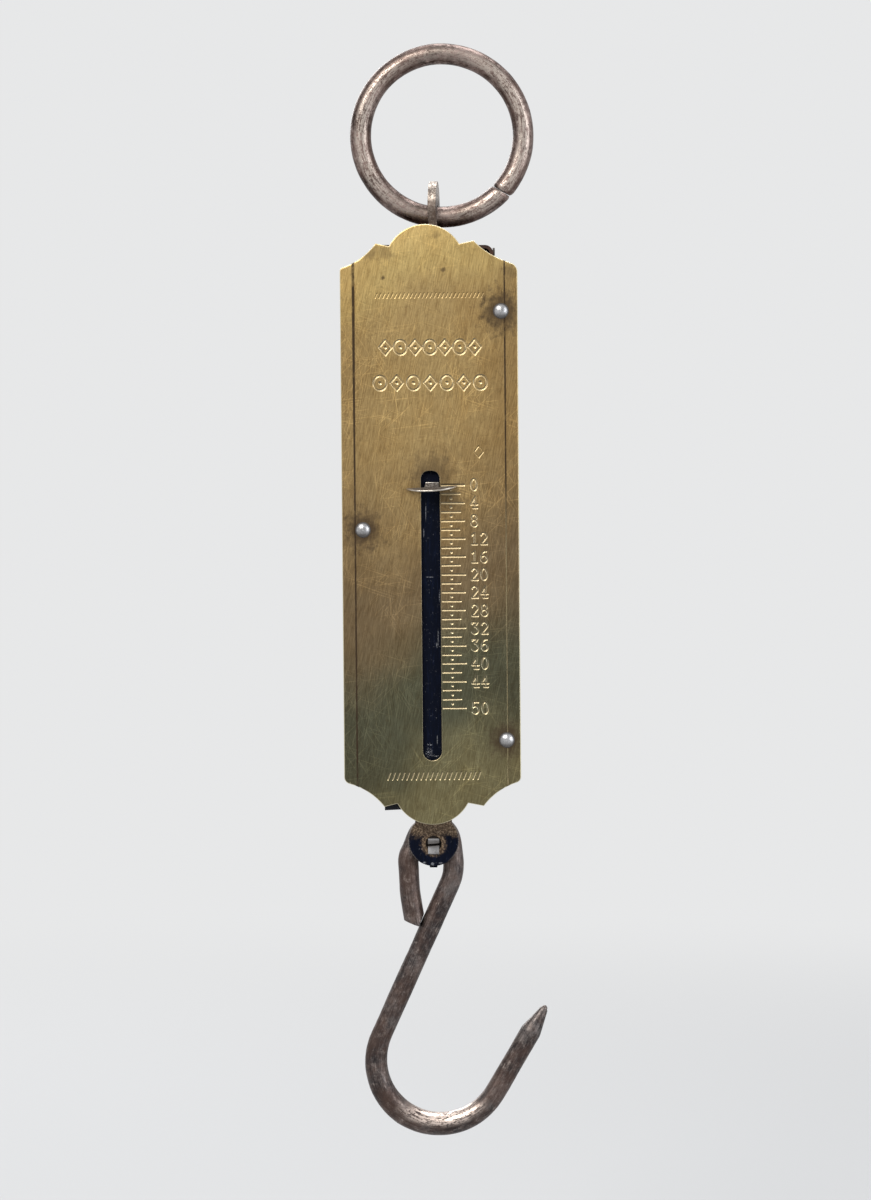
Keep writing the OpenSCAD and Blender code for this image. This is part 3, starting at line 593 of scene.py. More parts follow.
for part in frame["record"]["subparts"]:
    finish = nodes[part["node"]].data.materials
    finish.clear()
    finish.append(MATERIALS[part["material_slot"]])

# Softened edges on the CAD's folded and cut pieces, with the bevel's width in millimetres
SOFT_EDGES = {
    "rear_case": 0.12, "lower_guide": 0.15, "draw_bar": 0.2, "hook_pin": 0.35, "tab_washer": 0.15,
    "spring_foot": 0.15,
}


def soften(piece, width):
    piece.modifiers.new("weld", "WELD").merge_threshold = 2e-6
    bevel = piece.modifiers.new("soft_edges", "BEVEL")
    bevel.width = width * MM
    bevel.segments = 2
    bevel.limit_method = "ANGLE"
    bevel.angle_limit = radians(40)
    bevel.use_clamp_overlap = True
    piece.modifiers.new("normals", "WEIGHTED_NORMAL").keep_sharp = True


for name, width in SOFT_EDGES.items():
    soften(nodes[name], width)


# Mesh tools
def new_mesh(name, points, faces, slot, body, sharp=40):
    """A smooth piece from points in millimetres, sharp where its faces meet at more than the angle."""
    mesh = bpy.data.meshes.new(name)
    mesh.from_pydata((np.asarray(points, float) * MM).tolist(), [], faces)
    mesh.validate()
    piece = add_object(name, mesh)
    mesh.materials.append(MATERIALS[slot])
    mesh.shade_smooth()
    mesh.set_sharp_from_angle(angle=radians(sharp))
    if body:
        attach(piece, body)
    return piece


def joined(parts):
    """Parts of (points, faces) as one."""
    points, faces = [], []
    for new_points, new_faces in parts:
        faces += [tuple(len(points) + k for k in face) for face in new_faces]
        points += new_points
    return points, faces


def wall_faces(rings, sides):
    """Quads between closed rings of points that come ring by ring."""
    starts = [(i * sides, k, (k + 1) % sides) for i in range(rings - 1) for k in range(sides)]
    return [(s + k, s + m, s + sides + m, s + sides + k) for s, k, m in starts]


def tube_faces(rings, sides):
    return [
        *wall_faces(rings, sides), tuple(range(sides - 1, -1, -1)),
        tuple((rings - 1) * sides + k for k in range(sides)),
    ]


def circle(sides):
    """The cosine and sine of each of a round rod's sides."""
    return [(cos(2 * pi * k / sides), sin(2 * pi * k / sides)) for k in range(sides)]


def lengths(rows):
    return np.linalg.norm(rows, axis=1)


def smooth_step(share):
    return share * share * (3 - 2 * share)


def arc(cx, cz, rx, rz, start, end, steps):
    """Points on part of an ellipse, by angles in degrees."""
    angles = np.radians(np.linspace(start, end, steps + 1))
    return np.column_stack((cx + rx * np.cos(angles), cz + rz * np.sin(angles)))


def unevenness(points, waves, seed):
    """Smooth seeded unevenness at each point: a sum of slanted waves of (size, height)."""
    hand = np.random.default_rng(seed)
    total = np.zeros(len(points))
    for size, height in waves:
        for _ in range(5):
            way = hand.normal(size=3)
            way /= np.linalg.norm(way)
            turns = 2 * pi / (size * hand.uniform(0.7, 1.4))
            total += height / 5 * np.sin(points @ way * turns + hand.uniform(0, 2 * pi))
    return total


ROD_SIDES = 40


def uneven_rod(name, rings, waves, seed, slot, body, fade=1.0):
    """A rod from rings of (point, way out, place along and across the straight rod), a little uneven.
    The last of the three goes to the shader in metres, for marks drawn along the rod."""
    points, out, rods = (np.array(part, float) for part in zip(*rings))
    lift = (unevenness(points, waves, seed) - waves[0][1]) * fade
    faces = tube_faces(len(points) // ROD_SIDES, ROD_SIDES)
    rod = new_mesh(name, points + out * lift[:, None], faces, slot, body, 50)
    place = rod.data.attributes.new("rod", "FLOAT_VECTOR", "POINT")
    place.data.foreach_set("vector", (rods * MM).ravel())
    return rod


# Ring
SEAM_ANGLE = -43.0
SEAM_GAP = 0.25
SEAM_PINCH = 0.3
SEAM_SLANT = tan(radians(12))
RING_STEPS = 300
RING_WAVES = ((14, 0.05), (5, 0.035), (2, 0.015))


def make_ring():
    """The ring of wire, pinched and cut slanting at its butt joint."""
    gap = degrees(SEAM_GAP / RING_R)
    rings = []
    for i in range(RING_STEPS + 1):
        share = i / RING_STEPS
        a = radians(SEAM_ANGLE + gap / 2 + share * (360 - gap))
        from_seam = min(share, 1 - share) * 2 * pi * RING_R
        r = RING_WIRE / 2 - SEAM_PINCH * exp(-(from_seam / 0.35) ** 2)
        slant = SEAM_SLANT * exp(-(from_seam / 3) ** 2)
        for sideways, forward in circle(ROD_SIDES):
            across = r * sideways
            deep = r * forward
            tilt = a + slant * across / RING_R
            far = RING_R + across
            point = (RING_X + far * cos(tilt), deep, RING_Z + far * sin(tilt))
            out = (sideways * cos(a), forward, sideways * sin(a))
            rings.append((point, out, (a * RING_R, across, deep)))
    ring = uneven_rod("wire_ring", rings, RING_WAVES, 3, "ring_steel", "ring")
    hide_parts("ring")


# Hanger
CROWN_R = 6.0
CROWN_EDGE = 5.7
CROWN_RISE = 1.2
EYE_TURN = radians(-9)
TURN_HEIGHT = 3.5


def make_hanger():
    """The hanger as cut, with its eye turned a little to the left and its crown drawn up."""
    mesh = nodes["hanger"].data.copy()
    mesh.name = "drawn_hanger"
    crown_z = box_mm("hanger")[1].z - CROWN_R
    for v in mesh.vertices:
        x, y, z = v.co / MM
        if z > crown_z and hypot(x, y, z - crown_z) > CROWN_EDGE:
            z += CROWN_RISE * (z - crown_z) / CROWN_R
        turn = EYE_TURN * smooth_step(min(1.0, max(0.0, (z - CASE_TOP) / TURN_HEIGHT)))
        turned = (x * cos(turn) - y * sin(turn), x * sin(turn) + y * cos(turn), z)
        v.co = Vector(turned) * MM
    hanger = add_object("drawn_hanger", mesh)
    soften(hanger, 0.3)
    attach(hanger, "case")
    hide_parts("hanger")


# Pointer
BLADE_X = -0.45
BLADE_Z = ZERO_Z - 0.6
BLADE_W = 12.3
BLADE_D = 3.5
BLADE_T = 0.4
BLADE_EDGE = 0.15
BLADE_DROOP = radians(11.5)
BLADE_ROLL = radians(3.3)
TONGUE_W = 3.4
TONGUE_T = 0.9
HEAD_T = 0.7
HEAD_OVER = 0.6


def block(x0, x1, y0, y1, z0, z1, narrowed=0.0):
    """A block's corners, its top narrowed on the left, and its faces."""
    corners = []
    for z, left in ((z0, x0), (z1, x0 + narrowed)):
        corners += [(left, y0, z), (x1, y0, z), (x1, y1, z), (left, y1, z)]
    return corners, [(3, 2, 1, 0), (4, 5, 6, 7), *wall_faces(2, 4)]


def pointer_blade():
    """The half-moon blade, which droops and is rolled a little to one side."""
    blade_r = ((BLADE_W / 2) ** 2 + BLADE_D**2) / (2 * BLADE_D)
    half = degrees(asin(BLADE_W / 2 / blade_r))
    rim = np.vstack((
        arc(0, BLADE_D - blade_r, blade_r, blade_r, 90 - half, 90 + half, 40),
        [(-BLADE_W / 2, -BLADE_EDGE), (BLADE_W / 2, -BLADE_EDGE)],
    ))
    blade = []
    for lift in (-BLADE_T / 2, BLADE_T / 2):
        for x, forward in rim:
            up = lift * cos(BLADE_DROOP) - forward * sin(BLADE_DROOP)
            y = BLADE_Y - forward * cos(BLADE_DROOP) - lift * sin(BLADE_DROOP)
            blade.append((BLADE_X + x, y, BLADE_Z + up + x * sin(BLADE_ROLL)))
    n = len(rim)
    sides = [face[::-1] for face in wall_faces(2, n)]
    return blade, [tuple(range(n)), tuple(range(2 * n - 1, n - 1, -1)), *sides]


def make_pointer():
    """The blade, bent a little by hand, its tongue with an upturned edge in the slot, and its head."""
    back = box_mm("pointer")[1].y - HEAD_T
    left, right = BLADE_X - TONGUE_W / 2, BLADE_X + TONGUE_W / 2
    low, high = BLADE_Z - TONGUE_T / 2, BLADE_Z + TONGUE_T / 2
    points, faces = joined((
        block(left, right, BLADE_Y, back, low, high),
        block(left - 0.1, right - 0.05, BLADE_Y + 0.05, BLADE_Y + 1.6, BLADE_Z, TONGUE_TOP, 0.3),
        block(left - 0.5, right + 0.5, back, back + HEAD_T, low - HEAD_OVER, high + HEAD_OVER),
        pointer_blade(),
    ))
    pointer = new_mesh("bent_pointer", points, faces, "pointer_steel", "draw")
    soften(pointer, 0.1)
    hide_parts("pointer")


# Outlines of the face plate and its slot
LOBE_R = 9.7
LOBE_LEFT = 0.9
CUSP_RISE = 0.75
CORNER_DROP = 10.4
RIM = 0.32
SLOT_RIM = 0.14
# Each corner, a little different as cut by hand: the lobe's rise over the notch, where the cusp is,
# the corner's drop, the shoulder's radius and the corner's
TOP_CORNERS = (5.3, 11.9, 10.5, 16.0, 1.0), (4.8, 11.8, 9.9, 21.0, 2.3)
LOW_CORNERS = (5.2, 11.8, 10.4, 16.0, 1.7), (5.2, 12.4, 10.4, 16.0, 1.5)


def bearing(centre, point):
    """The angle in degrees from a centre to a point."""
    return degrees(atan2(point[1] - centre[1], point[0] - centre[0]))


def end_run(side, shift, lobe_rise, cusp_x, corner_drop, shoulder_r, corner_r):
    """Half an end of the plate as on its top right, from the side to the notch, mirrored for the left."""
    top = PLATE_H / 2
    notch_z = top - lobe_rise
    notch_x = sqrt(LOBE_R**2 - (notch_z - top + LOBE_R) ** 2) + side * shift
    cusp = Vector((cusp_x + side * shift, notch_z + CUSP_RISE))
    corner = Vector((PLATE_W / 2, top - corner_drop))
    chord = corner - cusp
    rise = sqrt(shoulder_r**2 - (chord.length / 2) ** 2)
    hollow = (corner + cusp) / 2 + rise * Vector((-chord.y, chord.x)).normalized()
    x = PLATE_W / 2 - corner_r
    z = hollow.y - sqrt((shoulder_r + corner_r) ** 2 - (x - hollow.x) ** 2)
    meet = bearing((x, z), hollow)
    last = bearing(hollow, cusp) % 360
    run = np.vstack((
        arc(x, z, corner_r, corner_r, 0, meet, 8),
        arc(hollow.x, hollow.y, shoulder_r, shoulder_r, meet + 180, last, 16),
        [(notch_x, notch_z)],
    ))
    return run * (side, 1)


def plate_end(shift, left_shape, right_shape):
    """An end of the plate from left to right, with its lobe between the two shoulders."""
    left = end_run(-1, shift, *left_shape)
    right = end_run(1, shift, *right_shape)[::-1]
    lobe = (shift, PLATE_H / 2 - LOBE_R)
    start = bearing(lobe, left[-1]) % 360
    return np.vstack((left, arc(*lobe, LOBE_R, LOBE_R, start, bearing(lobe, right[0]), 40)[1:-1], right))


def plate_outline():
    """The plate's outline, clockwise from its left side."""
    return np.vstack((plate_end(-LOBE_LEFT, *TOP_CORNERS), plate_end(0, *LOW_CORNERS)[::-1] * (1, -1)))


def slot_outline():
    """The slot's outline: a flat top with round corners and a round lower end."""
    top_r = 0.42 * SLOT_W
    half = SLOT_W / 2
    return np.vstack((
        arc(top_r - half, SLOT_TOP - top_r, top_r, top_r, 180, 90, 10),
        arc(half - top_r, SLOT_TOP - top_r, top_r, top_r, 90, 0, 10),
        arc(0, SLOT_END + half, half, half, 0, -180, 24),
    ))


def moved_in(loop, distance):
    """A clockwise outline moved inwards, or outwards where distance is negative."""
    normals = []
    for way in (loop - np.roll(loop, 1, axis=0), np.roll(loop, -1, axis=0) - loop):
        way = way / np.maximum(lengths(way), 1e-9)[:, None]
        normals.append(np.column_stack((way[:, 1], -way[:, 0])))
    middle = normals[0] + normals[1]
    middle /= lengths(middle)[:, None]
    reach = np.clip(1 / np.maximum((middle * normals[0]).sum(axis=1), 0.3), 1, 1.6)
    return loop + middle * (reach * distance)[:, None]


def inside(loop, points):
    odd = np.zeros(len(points), bool)
    for a, b in zip(loop, np.roll(loop, -1, axis=0)):
        if a[1] == b[1]:
            continue
        crossed = (a[1] > points[:, 1]) != (b[1] > points[:, 1])
        odd ^= crossed & (points[:, 0] < a[0] + (points[:, 1] - a[1]) * (b[0] - a[0]) / (b[1] - a[1]))
    return odd


# Strokes of the numerals in a cell 0.6 wide and 1 high
NUMERALS = {
    "0": [arc(0.3, 0.5, 0.25, 0.5, 0, 360, 24)],
    "1": [[(0.1, 0.8), (0.32, 1), (0.32, 0)], [(0.08, 0), (0.54, 0)]],
    "2": [np.vstack((arc(0.3, 0.73, 0.25, 0.27, 165, -30, 12), [(0.04, 0), (0.57, 0), (0.57, 0.15)]))],
    "3": [np.vstack(([(0.05, 0.86), (0.05, 1), (0.52, 1), (0.27, 0.62)],
                     arc(0.27, 0.31, 0.28, 0.31, 80, -150, 14)))],
    "4": [[(0.4, 0), (0.4, 1), (0.0, 0.32), (0.6, 0.32)], [(0.2, 0), (0.58, 0)]],
    "5": [np.vstack(([(0.52, 1), (0.12, 1), (0.08, 0.55)], arc(0.27, 0.32, 0.28, 0.32, 125, -150, 14)))],
    "6": [arc(0.3, 0.3, 0.26, 0.3, 0, 360, 20),
          [(0.04, 0.3), (0.07, 0.6), (0.18, 0.85), (0.34, 0.98), (0.5, 0.97)]],
    "8": [arc(0.3, 0.765, 0.2, 0.235, 0, 360, 16), arc(0.3, 0.27, 0.26, 0.27, 0, 360, 20)],
}
NUMBERED = 4
LAST_GAP = 3
NUMERAL_X = 9.75
NUMERAL_H = 2.75
NUMERAL_PITCH = 2.3
MARK_X = SLOT_W / 2 + 0.2
LONG_MARK = 8.2
SHORT_MARK = 7.05
DOT_X = 4.95
LINE_HALF = 0.25


def stroke(points, half, deep):
    """A stamped stroke: its run of points, half its width and its depth."""
    return np.asarray(points, float), half, deep


def numeral_strokes():
    hand = np.random.default_rng(5)
    strokes = []
    for load in [*range(0, CAPACITY - LAST_GAP, NUMBERED), CAPACITY]:
        low = ZERO_RISE - load * MARK_STEP + hand.uniform(-0.12, 0.12) - NUMERAL_H / 2
        for place, digit in enumerate(str(load)):
            for run in NUMERALS[digit]:
                run = np.asarray(run, float) * NUMERAL_H + (NUMERAL_X + NUMERAL_PITCH * place, low)
                strokes.append(stroke(run, LINE_HALF, 0.18))
    return strokes


def mark_strokes():
    """A long mark at every numbered pound, a short one at other even ones, a dot at odd ones."""
    hand = np.random.default_rng(6)
    strokes = []
    for load in range(CAPACITY + 1):
        z = ZERO_RISE - load * MARK_STEP + hand.uniform(-0.04, 0.04)
        if load % 2:
            strokes.append(stroke([(DOT_X, z), (DOT_X + 0.05, z)], 0.34, 0.2))
            continue
        long = load % NUMBERED == 0 and load < CAPACITY - LAST_GAP or load == CAPACITY
        end = (LONG_MARK if long else SHORT_MARK) + hand.uniform(-0.12, 0.12)
        run = [(MARK_X, z), (end, z + hand.uniform(-0.05, 0.05))]
        strokes.append(stroke(run, 0.32 if load == 0 else LINE_HALF, 0.17))
    return strokes


def lozenge(x, z, wide, tall):
    return [(x - wide, z), (x, z + tall), (x + wide, z), (x, z - tall), (x - wide, z)]


def band_strokes(centre_x, z, pitch, count, first_ring):
    """A stamped band of rings and lozenges in turn, each with a dot."""
    strokes = []
    for k in range(count):
        x = centre_x + (k - (count - 1) / 2) * pitch
        run = arc(x, z, 1.55, 1.75, 0, 360, 28) if k % 2 == first_ring else lozenge(x, z, 1.5, 1.85)
        strokes.append(stroke(run, 0.27, 0.2))
        strokes.append(stroke([(x - 0.02, z), (x + 0.02, z)], 0.42, 0.2))
    return strokes


def cord_strokes(low_x, high_x, z, height, pitch, depth):
    """A fine stamped line of slanted dashes, like a laid cord."""
    places = [low_x + k * pitch for k in range(int((high_x - low_x) / pitch) + 1)]
    return [stroke([(x, z - height / 2), (x + 0.55 * pitch, z + height / 2)], 0.19, depth) for x in places]


# Patches of fine mesh on the plate: left, right, bottom, top and strokes, with own steps for the scores
GRID = 0.1
SCORE_GRID = 0.07, 0.5
SCORE_HALF = 0.35
SCORE_END = PLATE_H / 2 - CORNER_DROP + 0.15
PATCHES = (
    (MARK_X, 14.9, -46.6, 11.9, mark_strokes() + numeral_strokes()),
    (-14.5, 14.9, 40.5, 45.7, band_strokes(0.2, 43.1, 3.6, 7, 1)),
    (-14.9, 15.3, 31.9, 37.1, band_strokes(0.2, 34.5, 4.05, 7, 0)),
    (-13.6, 14.4, 54.5, 56.7, cord_strokes(-13, 13.4, 55.6, 1.1, 0.95, 0.07)),
    (-11.6, 13.0, -62.4, -59.4, cord_strokes(-10.9, 12, -60.9, 1.7, 1.15, 0.15)),
    (9.6, 14.0, 15.6, 19.8, [stroke(lozenge(11.8, 17.7, 1.1, 1.4), 0.17, 0.1)]),
    *((x - SCORE_HALF, x + SCORE_HALF, -SCORE_END, SCORE_END,
       [stroke([(x, -PLATE_H), (x, PLATE_H)], 0.2, 0.16)], *SCORE_GRID) for x in (-SCORE_X, SCORE_X)),
)


def sheet_points(x, z, y):
    """Points of the leaning plate, from its own middle, as row points in millimetres."""
    across = x * cos(PLATE_TURN) - z * sin(PLATE_TURN) - PLATE_LEFT
    up = x * sin(PLATE_TURN) + z * cos(PLATE_TURN) + PLATE_Z
    return np.column_stack(np.broadcast_arrays(across, y, up)).tolist()


def stamped_depth(x, z, strokes):
    """How deep the strokes go at each place, with a slight raised lip beside them."""
    depth = np.zeros_like(x)
    lip = np.zeros_like(x)
    places = np.column_stack((x, z))
    for run, half, deep in strokes:
        close = (places > run.min(axis=0) - 2 * half) & (places < run.max(axis=0) + 2 * half)
        near = np.flatnonzero(close.all(axis=1))
        p = places[near]
        best = np.full(len(near), 1e9)
        for a, b in zip(run[:-1], run[1:]):
            way = b - a
            t = np.clip((p - a) @ way / max(way @ way, 1e-12), 0, 1)
            best = np.minimum(best, lengths(p - a - t[:, None] * way))
        best /= half
        depth[near] = np.maximum(depth[near], deep * np.clip(1 - best**1.6, 0, 1))
        lip[near] = np.maximum(lip[near], 0.14 * deep * np.exp(-(((best - 1.2) / 0.28) ** 2)))
    return np.where(depth > 0, depth, -lip)


def stamped_patch(x0, x1, z0, z1, strokes, step_x=GRID, step_z=GRID):
    """A patch of fine mesh with the strokes pressed into it, as (points, faces), and its border."""
    xs = np.linspace(x0, x1, round((x1 - x0) / step_x) + 1)
    zs = np.linspace(z0, z1, round((z1 - z0) / step_z) + 1)
    gx, gz = (g.ravel() for g in np.meshgrid(xs, zs))
    from_rim = np.minimum(np.minimum(gx - x0, x1 - gx), np.minimum(gz - z0, z1 - gz))
    deep = stamped_depth(gx, gz, strokes) * np.clip(from_rim / step_x, 0, 1)
    wide = len(xs)
    starts = [i * wide + k for i in range(len(zs) - 1) for k in range(wide - 1)]
    quads = [(k, k + 1, k + wide + 1, k + wide) for k in starts]
    border = np.vstack([
        np.column_stack(np.broadcast_arrays(px, pz))
        for px, pz in ((x0, zs[:-1]), (xs[:-1], z1), (x1, zs[:0:-1]), (xs[:0:-1], z0))
    ])
    return (sheet_points(gx, gz, PLATE_FRONT + deep), quads), border


def flat_sheet(loops, y):
    """Flat sheet inside the first loop and outside the others, which are its holes."""
    edges = []
    for loop in loops:
        base = len(edges)
        edges += [(base + k, base + (k + 1) % len(loop)) for k in range(len(loop))]
    found, _, triangles, *_ = delaunay_2d_cdt([Vector(p) for p in np.vstack(loops)], edges, [], 0, 1e-6)
    found = np.array(found)
    middles = found[np.array(triangles)].mean(axis=1)
    kept = inside(loops[0], middles)
    for hole in loops[1:]:
        kept &= ~inside(hole, middles)
    return sheet_points(*found.T, y), [tuple(f) for f, k in zip(triangles, kept) if k]


def rounded_edge(loop, r, inwards):
    """The sheet's edge along the loop from front to back, rounded at both."""
    points = []
    quarter = [radians(a) for a in (0, 22.5, 45, 67.5, 90)]
    for turns, face, way in ((quarter, PLATE_FRONT, 1), (quarter[::-1], PLATE_BACK, -1)):
        for a in turns:
            y = face + way * r * (1 - cos(a))
            points += sheet_points(*moved_in(loop, inwards * r * (1 - sin(a))).T, y)
    faces = wall_faces(2 * len(quarter), len(loop))
    return points, faces if inwards > 0 else [face[::-1] for face in faces]


def make_plate():
    """The face plate: stamped patches of fine mesh, let into flat sheet with a rounded edge."""
    outline = plate_outline()
    slot = slot_outline()
    patches, borders = zip(*(stamped_patch(*patch) for patch in PATCHES))
    flat_loops = [moved_in(outline, RIM), moved_in(slot, -SLOT_RIM)]
    points, faces = joined((
        *patches, flat_sheet([*flat_loops, *borders], PLATE_FRONT), flat_sheet(flat_loops, PLATE_BACK),
        rounded_edge(outline, RIM, 1), rounded_edge(slot, SLOT_RIM, -1),
    ))
    plate = new_mesh("stamped_plate", points, faces, "brass_plate", "case", 60)
    bm = bmesh.new()
    bm.from_mesh(plate.data)
    bmesh.ops.remove_doubles(bm, verts=bm.verts, dist=2e-6)
    bmesh.ops.recalc_face_normals(bm, faces=bm.faces)
    bm.to_mesh(plate.data)
    bm.free()
    plate.modifiers.new("normals", "WEIGHTED_NORMAL").keep_sharp = True
    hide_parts("face_plate")


# Hook
HOOK_R = 2.6
BEND_SWELL = 0.4
EYE_R = 4.45
EYE_THINNED = 0.25
EYE_OUTER = 7.2
LEG_RIGHT = 4.9
KNEE = (-6.3, PIN_Z - 3.9)
RIGHT_KNEE = (LEG_RIGHT, PIN_Z - 2.1)
NECK_R = 8.0
NECK_DROP = 6.44
TAIL_END = np.array((-4.5, PIN_Z - 20.3))
TAIL_BEND = np.array((-5.75, PIN_Z - 12.9))
TAIL_REACH = 12
TAIL_GAP = 0.05
TAIL_SLANT = tan(radians(30))
POINT = np.array((27.6, PIN_Z - 40.4))
TAPER = 7.4
TIP_R = 0.77
ROUTE_STEP = 0.25
HOOK_WAVES = ((18, 0.07), (6, 0.04), (2.2, 0.018))


def straight(a, b):
    return np.linspace(a, b, max(2, int(np.linalg.norm(np.subtract(b, a)) / ROUTE_STEP)))


def lengths_along(route):
    return np.concatenate(([0], np.cumsum(lengths(np.diff(route, axis=0)))))


def hook_legs():
    """The rod's middle from tail to point, leg by leg, a point on its shank and the way out from it."""
    neck = np.array((LEG_RIGHT - NECK_R, PIN_Z - NECK_DROP))
    to_bow = BOW - neck
    lean = asin((NECK_R + BEND_R) / np.linalg.norm(to_bow)) - atan2(to_bow[0], -to_bow[1])
    to_point = BOW - POINT
    arm = atan2(-to_point[0], -to_point[1]) - asin(BEND_R / np.linalg.norm(to_point))
    aside = np.array((cos(lean), -sin(lean)))
    neck_end = neck + NECK_R * aside
    arm_start = BOW + BEND_R * np.array((cos(arm), -sin(arm)))
    taper_at = POINT - TAPER * np.array((sin(arm), cos(arm)))
    eye = arc(0, PIN_Z, EYE_R, EYE_R, 158, 12, 60)
    lean_deg = degrees(lean)
    legs = {
        "tail": straight(TAIL_END, TAIL_BEND), "left": straight(TAIL_BEND, KNEE),
        "knee": straight(KNEE, eye[0]), "eye": eye, "right_knee": straight(eye[-1], RIGHT_KNEE),
        "right": straight(RIGHT_KNEE, (LEG_RIGHT, neck[1])),
        "neck": arc(*neck, NECK_R, NECK_R, 0, -lean_deg, 12),
        "shank": straight(neck_end, BOW - BEND_R * aside),
        "bend": arc(*BOW, BEND_R, BEND_R, 180 - lean_deg, 360 - degrees(arm), 180),
        "arm": straight(arm_start, taper_at), "point": straight(taper_at, POINT),
    }
    return legs, neck_end, aside


def hook_route(legs):
    """The hook's rod from tail to point: its middle, its radius and its length so far."""
    route = legs["tail"][:1]
    starts = {}
    for name, leg in legs.items():
        starts[name] = lengths_along(route)[-1]
        route = np.vstack((route, leg[1:]))
    along = lengths_along(route)
    total = along[-1]
    far = np.linspace(0, total, int(total / ROUTE_STEP))
    route = np.column_stack([np.interp(far, along, route[:, k]) for k in (0, 1)])
    wide = np.pad(route, ((6, 6), (0, 0)), "edge")
    smooth = sum(wide[k:k + len(route)] for k in range(13)) / 13
    inner = (far > 1.5) & (far < total - 2)
    route[inner] = smooth[inner]
    near_pin = np.clip((EYE_OUTER - lengths(route - (0, PIN_Z))) / 2.4, 0, 1)
    bend = np.clip((far - starts["bend"]) / (starts["arm"] - starts["bend"]), 0, 1)
    radius = HOOK_R - EYE_THINNED * smooth_step(near_pin) + BEND_SWELL * np.sin(pi * bend)
    t = np.clip((far - starts["point"]) / TAPER, 0, 1)
    radius = np.where(t > 0, HOOK_R + (TIP_R - HOOK_R) * t**1.1, radius)
    left = total - far
    cap = left < TIP_R
    radius[cap] = np.sqrt(np.clip(TIP_R**2 - (TIP_R - left[cap]) ** 2, 0.02, None))
    return route, radius, far


def make_hook():
    """The forged hook: its tail cut slanting against the shank, its bend swollen, its point ground."""
    legs, on_shank, from_shank = hook_legs()
    route, radius, far = hook_route(legs)
    total = far[-1]
    ahead = np.gradient(route, axis=0)
    ahead /= lengths(ahead)[:, None]
    rings = []
    for p, way, r, s in zip(route, ahead, radius, far):
        left = np.array((-way[1], way[0]))
        slant = TAIL_SLANT * exp(-(s / 2.2) ** 2)
        ground = max(0.0, min(1.0, (s - total + TAPER) / 2.5, (total - s) / 1.5))
        for sideways, forward in circle(ROD_SIDES):
            across = r * min(sideways, 1 - 0.08 * ground)
            deep = r * forward
            at = p + across * left + across * slant * way
            if s < TAIL_REACH:
                at = at - max((at - on_shank) @ from_shank + HOOK_R + TAIL_GAP, 0) * from_shank
            out = (left[0] * sideways, forward, left[1] * sideways)
            rings.append(((at[0], deep, at[1]), out, (s, across, deep)))
    fade = np.repeat(np.clip((total - far) / 4, 0.15, 1), ROD_SIDES)
    hook = uneven_rod("forged_hook", rings, HOOK_WAVES, 8, "hook_steel", "hook", fade)
    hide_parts("hook")


# Spring
SPRING_R = 6.85
SPRING_WIRE_R = 1.0
SPRING_SIDES = 14
SPRING_TURNS = 18
TURN_STEPS = 30
END_TURNS = 1.5
END_PITCH = 3.3
CROSS_PIN_R = 1.25
SPRING_LOW = ZERO_Z + 5.1 + SPRING_WIRE_R
pin_low, pin_high = box_mm("cross_pin")
SPRING_HIGH = (pin_low.z + pin_high.z) / 2 - CROSS_PIN_R - 0.4 - SPRING_WIRE_R


def make_spring():
    """The wound spring, with open turns between its held end turns."""
    held = END_TURNS * END_PITCH
    pitch = (SPRING_HIGH - SPRING_LOW - 2 * held) / (SPRING_TURNS - 2 * END_TURNS)
    slope = sin(atan(pitch / (2 * pi * SPRING_R)))
    flat = sqrt(1 - slope**2)
    points = []
    for i in range(TURN_STEPS * SPRING_TURNS + 1):
        t = i / TURN_STEPS
        end_turns = min(t, END_TURNS) + max(t - SPRING_TURNS + END_TURNS, 0)
        z = SPRING_LOW + pitch * t + (END_PITCH - pitch) * end_turns
        a = 2 * pi * t
        for sideways, upward in circle(SPRING_SIDES):
            out = SPRING_R + SPRING_WIRE_R * sideways
            up = SPRING_WIRE_R * upward
            lean = up * slope
            points.append((out * cos(a) + lean * sin(a), out * sin(a) - lean * cos(a), z + up * flat))
    faces = tube_faces(len(points) // SPRING_SIDES, SPRING_SIDES)
    spring = new_mesh("wound_spring", points, faces, "spring_steel", None, 50)
    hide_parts("spring")
    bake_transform(spring)


make_ring()
make_hanger()
make_plate()
make_pointer()
make_hook()
make_spring()

# Floor and background, in metres
GROUND = -0.34
FLOOR_R = 6.0
FLOOR_TONE = (0.5, 0.503, 0.506)
BACKGROUND = (0.8, 0.805, 0.81)
SKY = (0.6, 0.63, 0.68)


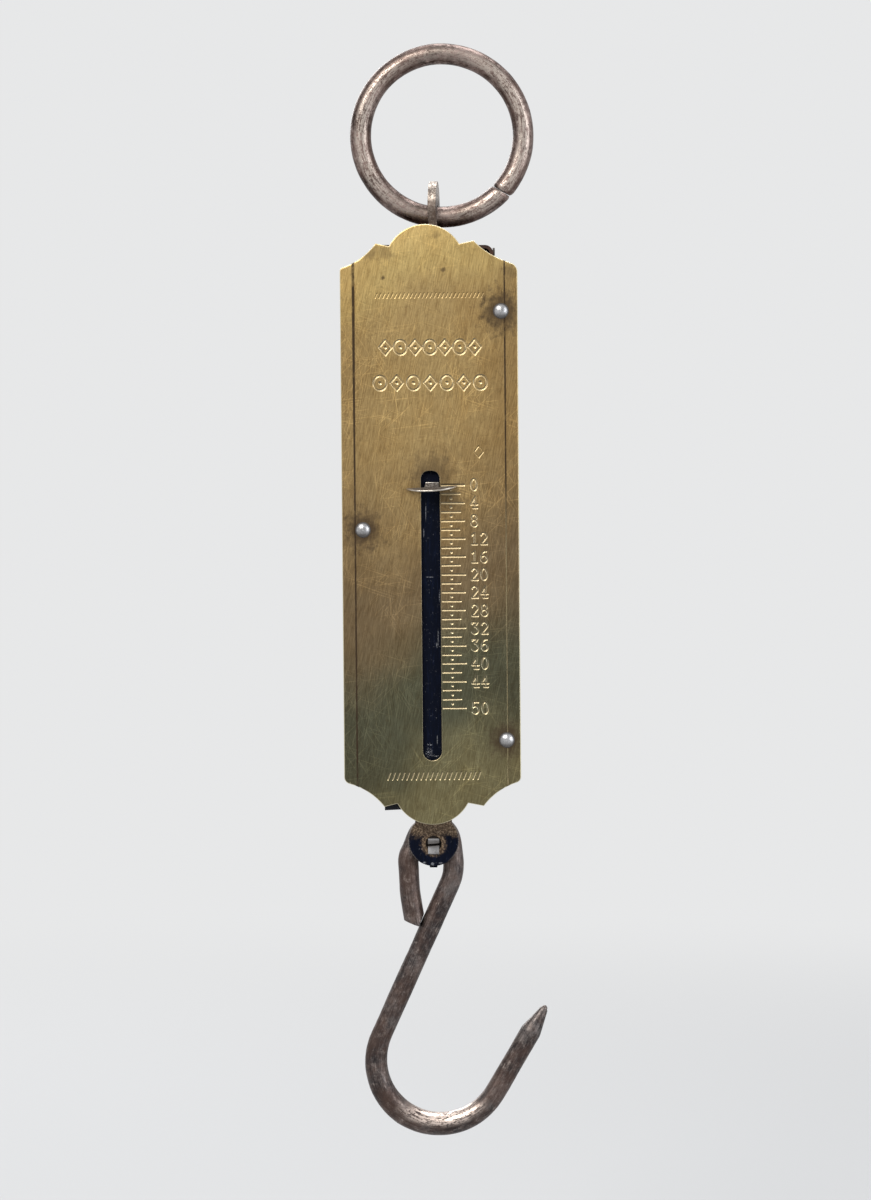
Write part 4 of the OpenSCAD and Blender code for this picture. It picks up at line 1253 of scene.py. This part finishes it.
def clean_seen(tree):
    """1 where a ray from the camera, a mirror or glass looks, so that they see the plain background."""
    path = put(tree, "LightPath")
    return highest(*(Shade(path, f"Is {kind} Ray") for kind in ("Camera", "Glossy", "Transmission")))


def show_background(shader, share, kind, output):
    """Lay the plain background over a shader by the share."""
    plain = Shade(put(shader.id_data, kind, {"Color": BACKGROUND, "Strength": 1.0}))
    both = made("MixShader", {0: share, 1: Shade(shader), 2: plain})
    give(shader.id_data.nodes[output].inputs["Surface"], both)


def pale_floor(at, shader):
    """A pale floor that keeps shadows near the object and turns into the background far off."""
    feed(shader, Base_Color=FLOOR_TONE, Roughness=0.9, Specular_IOR_Level=0.1)
    share = between(length(at), 0.35, 1.1) * clean_seen(at.tree)
    show_background(shader, share, "Emission", "Material Output")


bm = bmesh.new()
bmesh.ops.create_circle(bm, cap_ends=True, segments=96, radius=FLOOR_R)
floor = add_object("floor", bpy.data.meshes.new("floor"))
bm.to_mesh(floor.data)
bm.free()
floor.location = (0, 0, GROUND)
floor.data.materials.append(material("pale_floor", pale_floor))

world = bpy.data.worlds.new("studio")
bpy.context.scene.world = world
world.use_nodes = True
sky = world.node_tree.nodes["Background"]
give(sky.inputs["Color"], SKY)
give(sky.inputs["Strength"], 0.5)
show_background(sky, clean_seen(world.node_tree), "Background", "World Output")

# Soft lights: place in metres, width and height, power in watts, tint
MIDDLE = (0, 0, -0.12)
LIGHTS = {
    "key": ((-0.5, -0.9, 0.75), (0.7, 0.7), 14, (1, 0.97, 0.92)),
    "fill": ((0.95, -0.6, 0.15), (0.6, 0.9), 6, (0.93, 0.96, 1)),
    "top": ((0.1, 0.35, 0.9), (0.8, 0.5), 9, (1, 1, 1)),
    "rear": ((-0.4, 1.0, 0.35), (0.6, 0.6), 6, (1, 1, 1)),
}
for name, (place, size, power, tint) in LIGHTS.items():
    lamp = bpy.data.lights.new(name, "AREA")
    lamp.shape = "RECTANGLE"
    lamp.size, lamp.size_y = size
    lamp.energy = power
    lamp.color = tint
    thing = add_object(name, lamp)
    thing.location = place
    aim(thing, MIDDLE)
bpy.context.scene.view_settings.view_transform = "Standard"
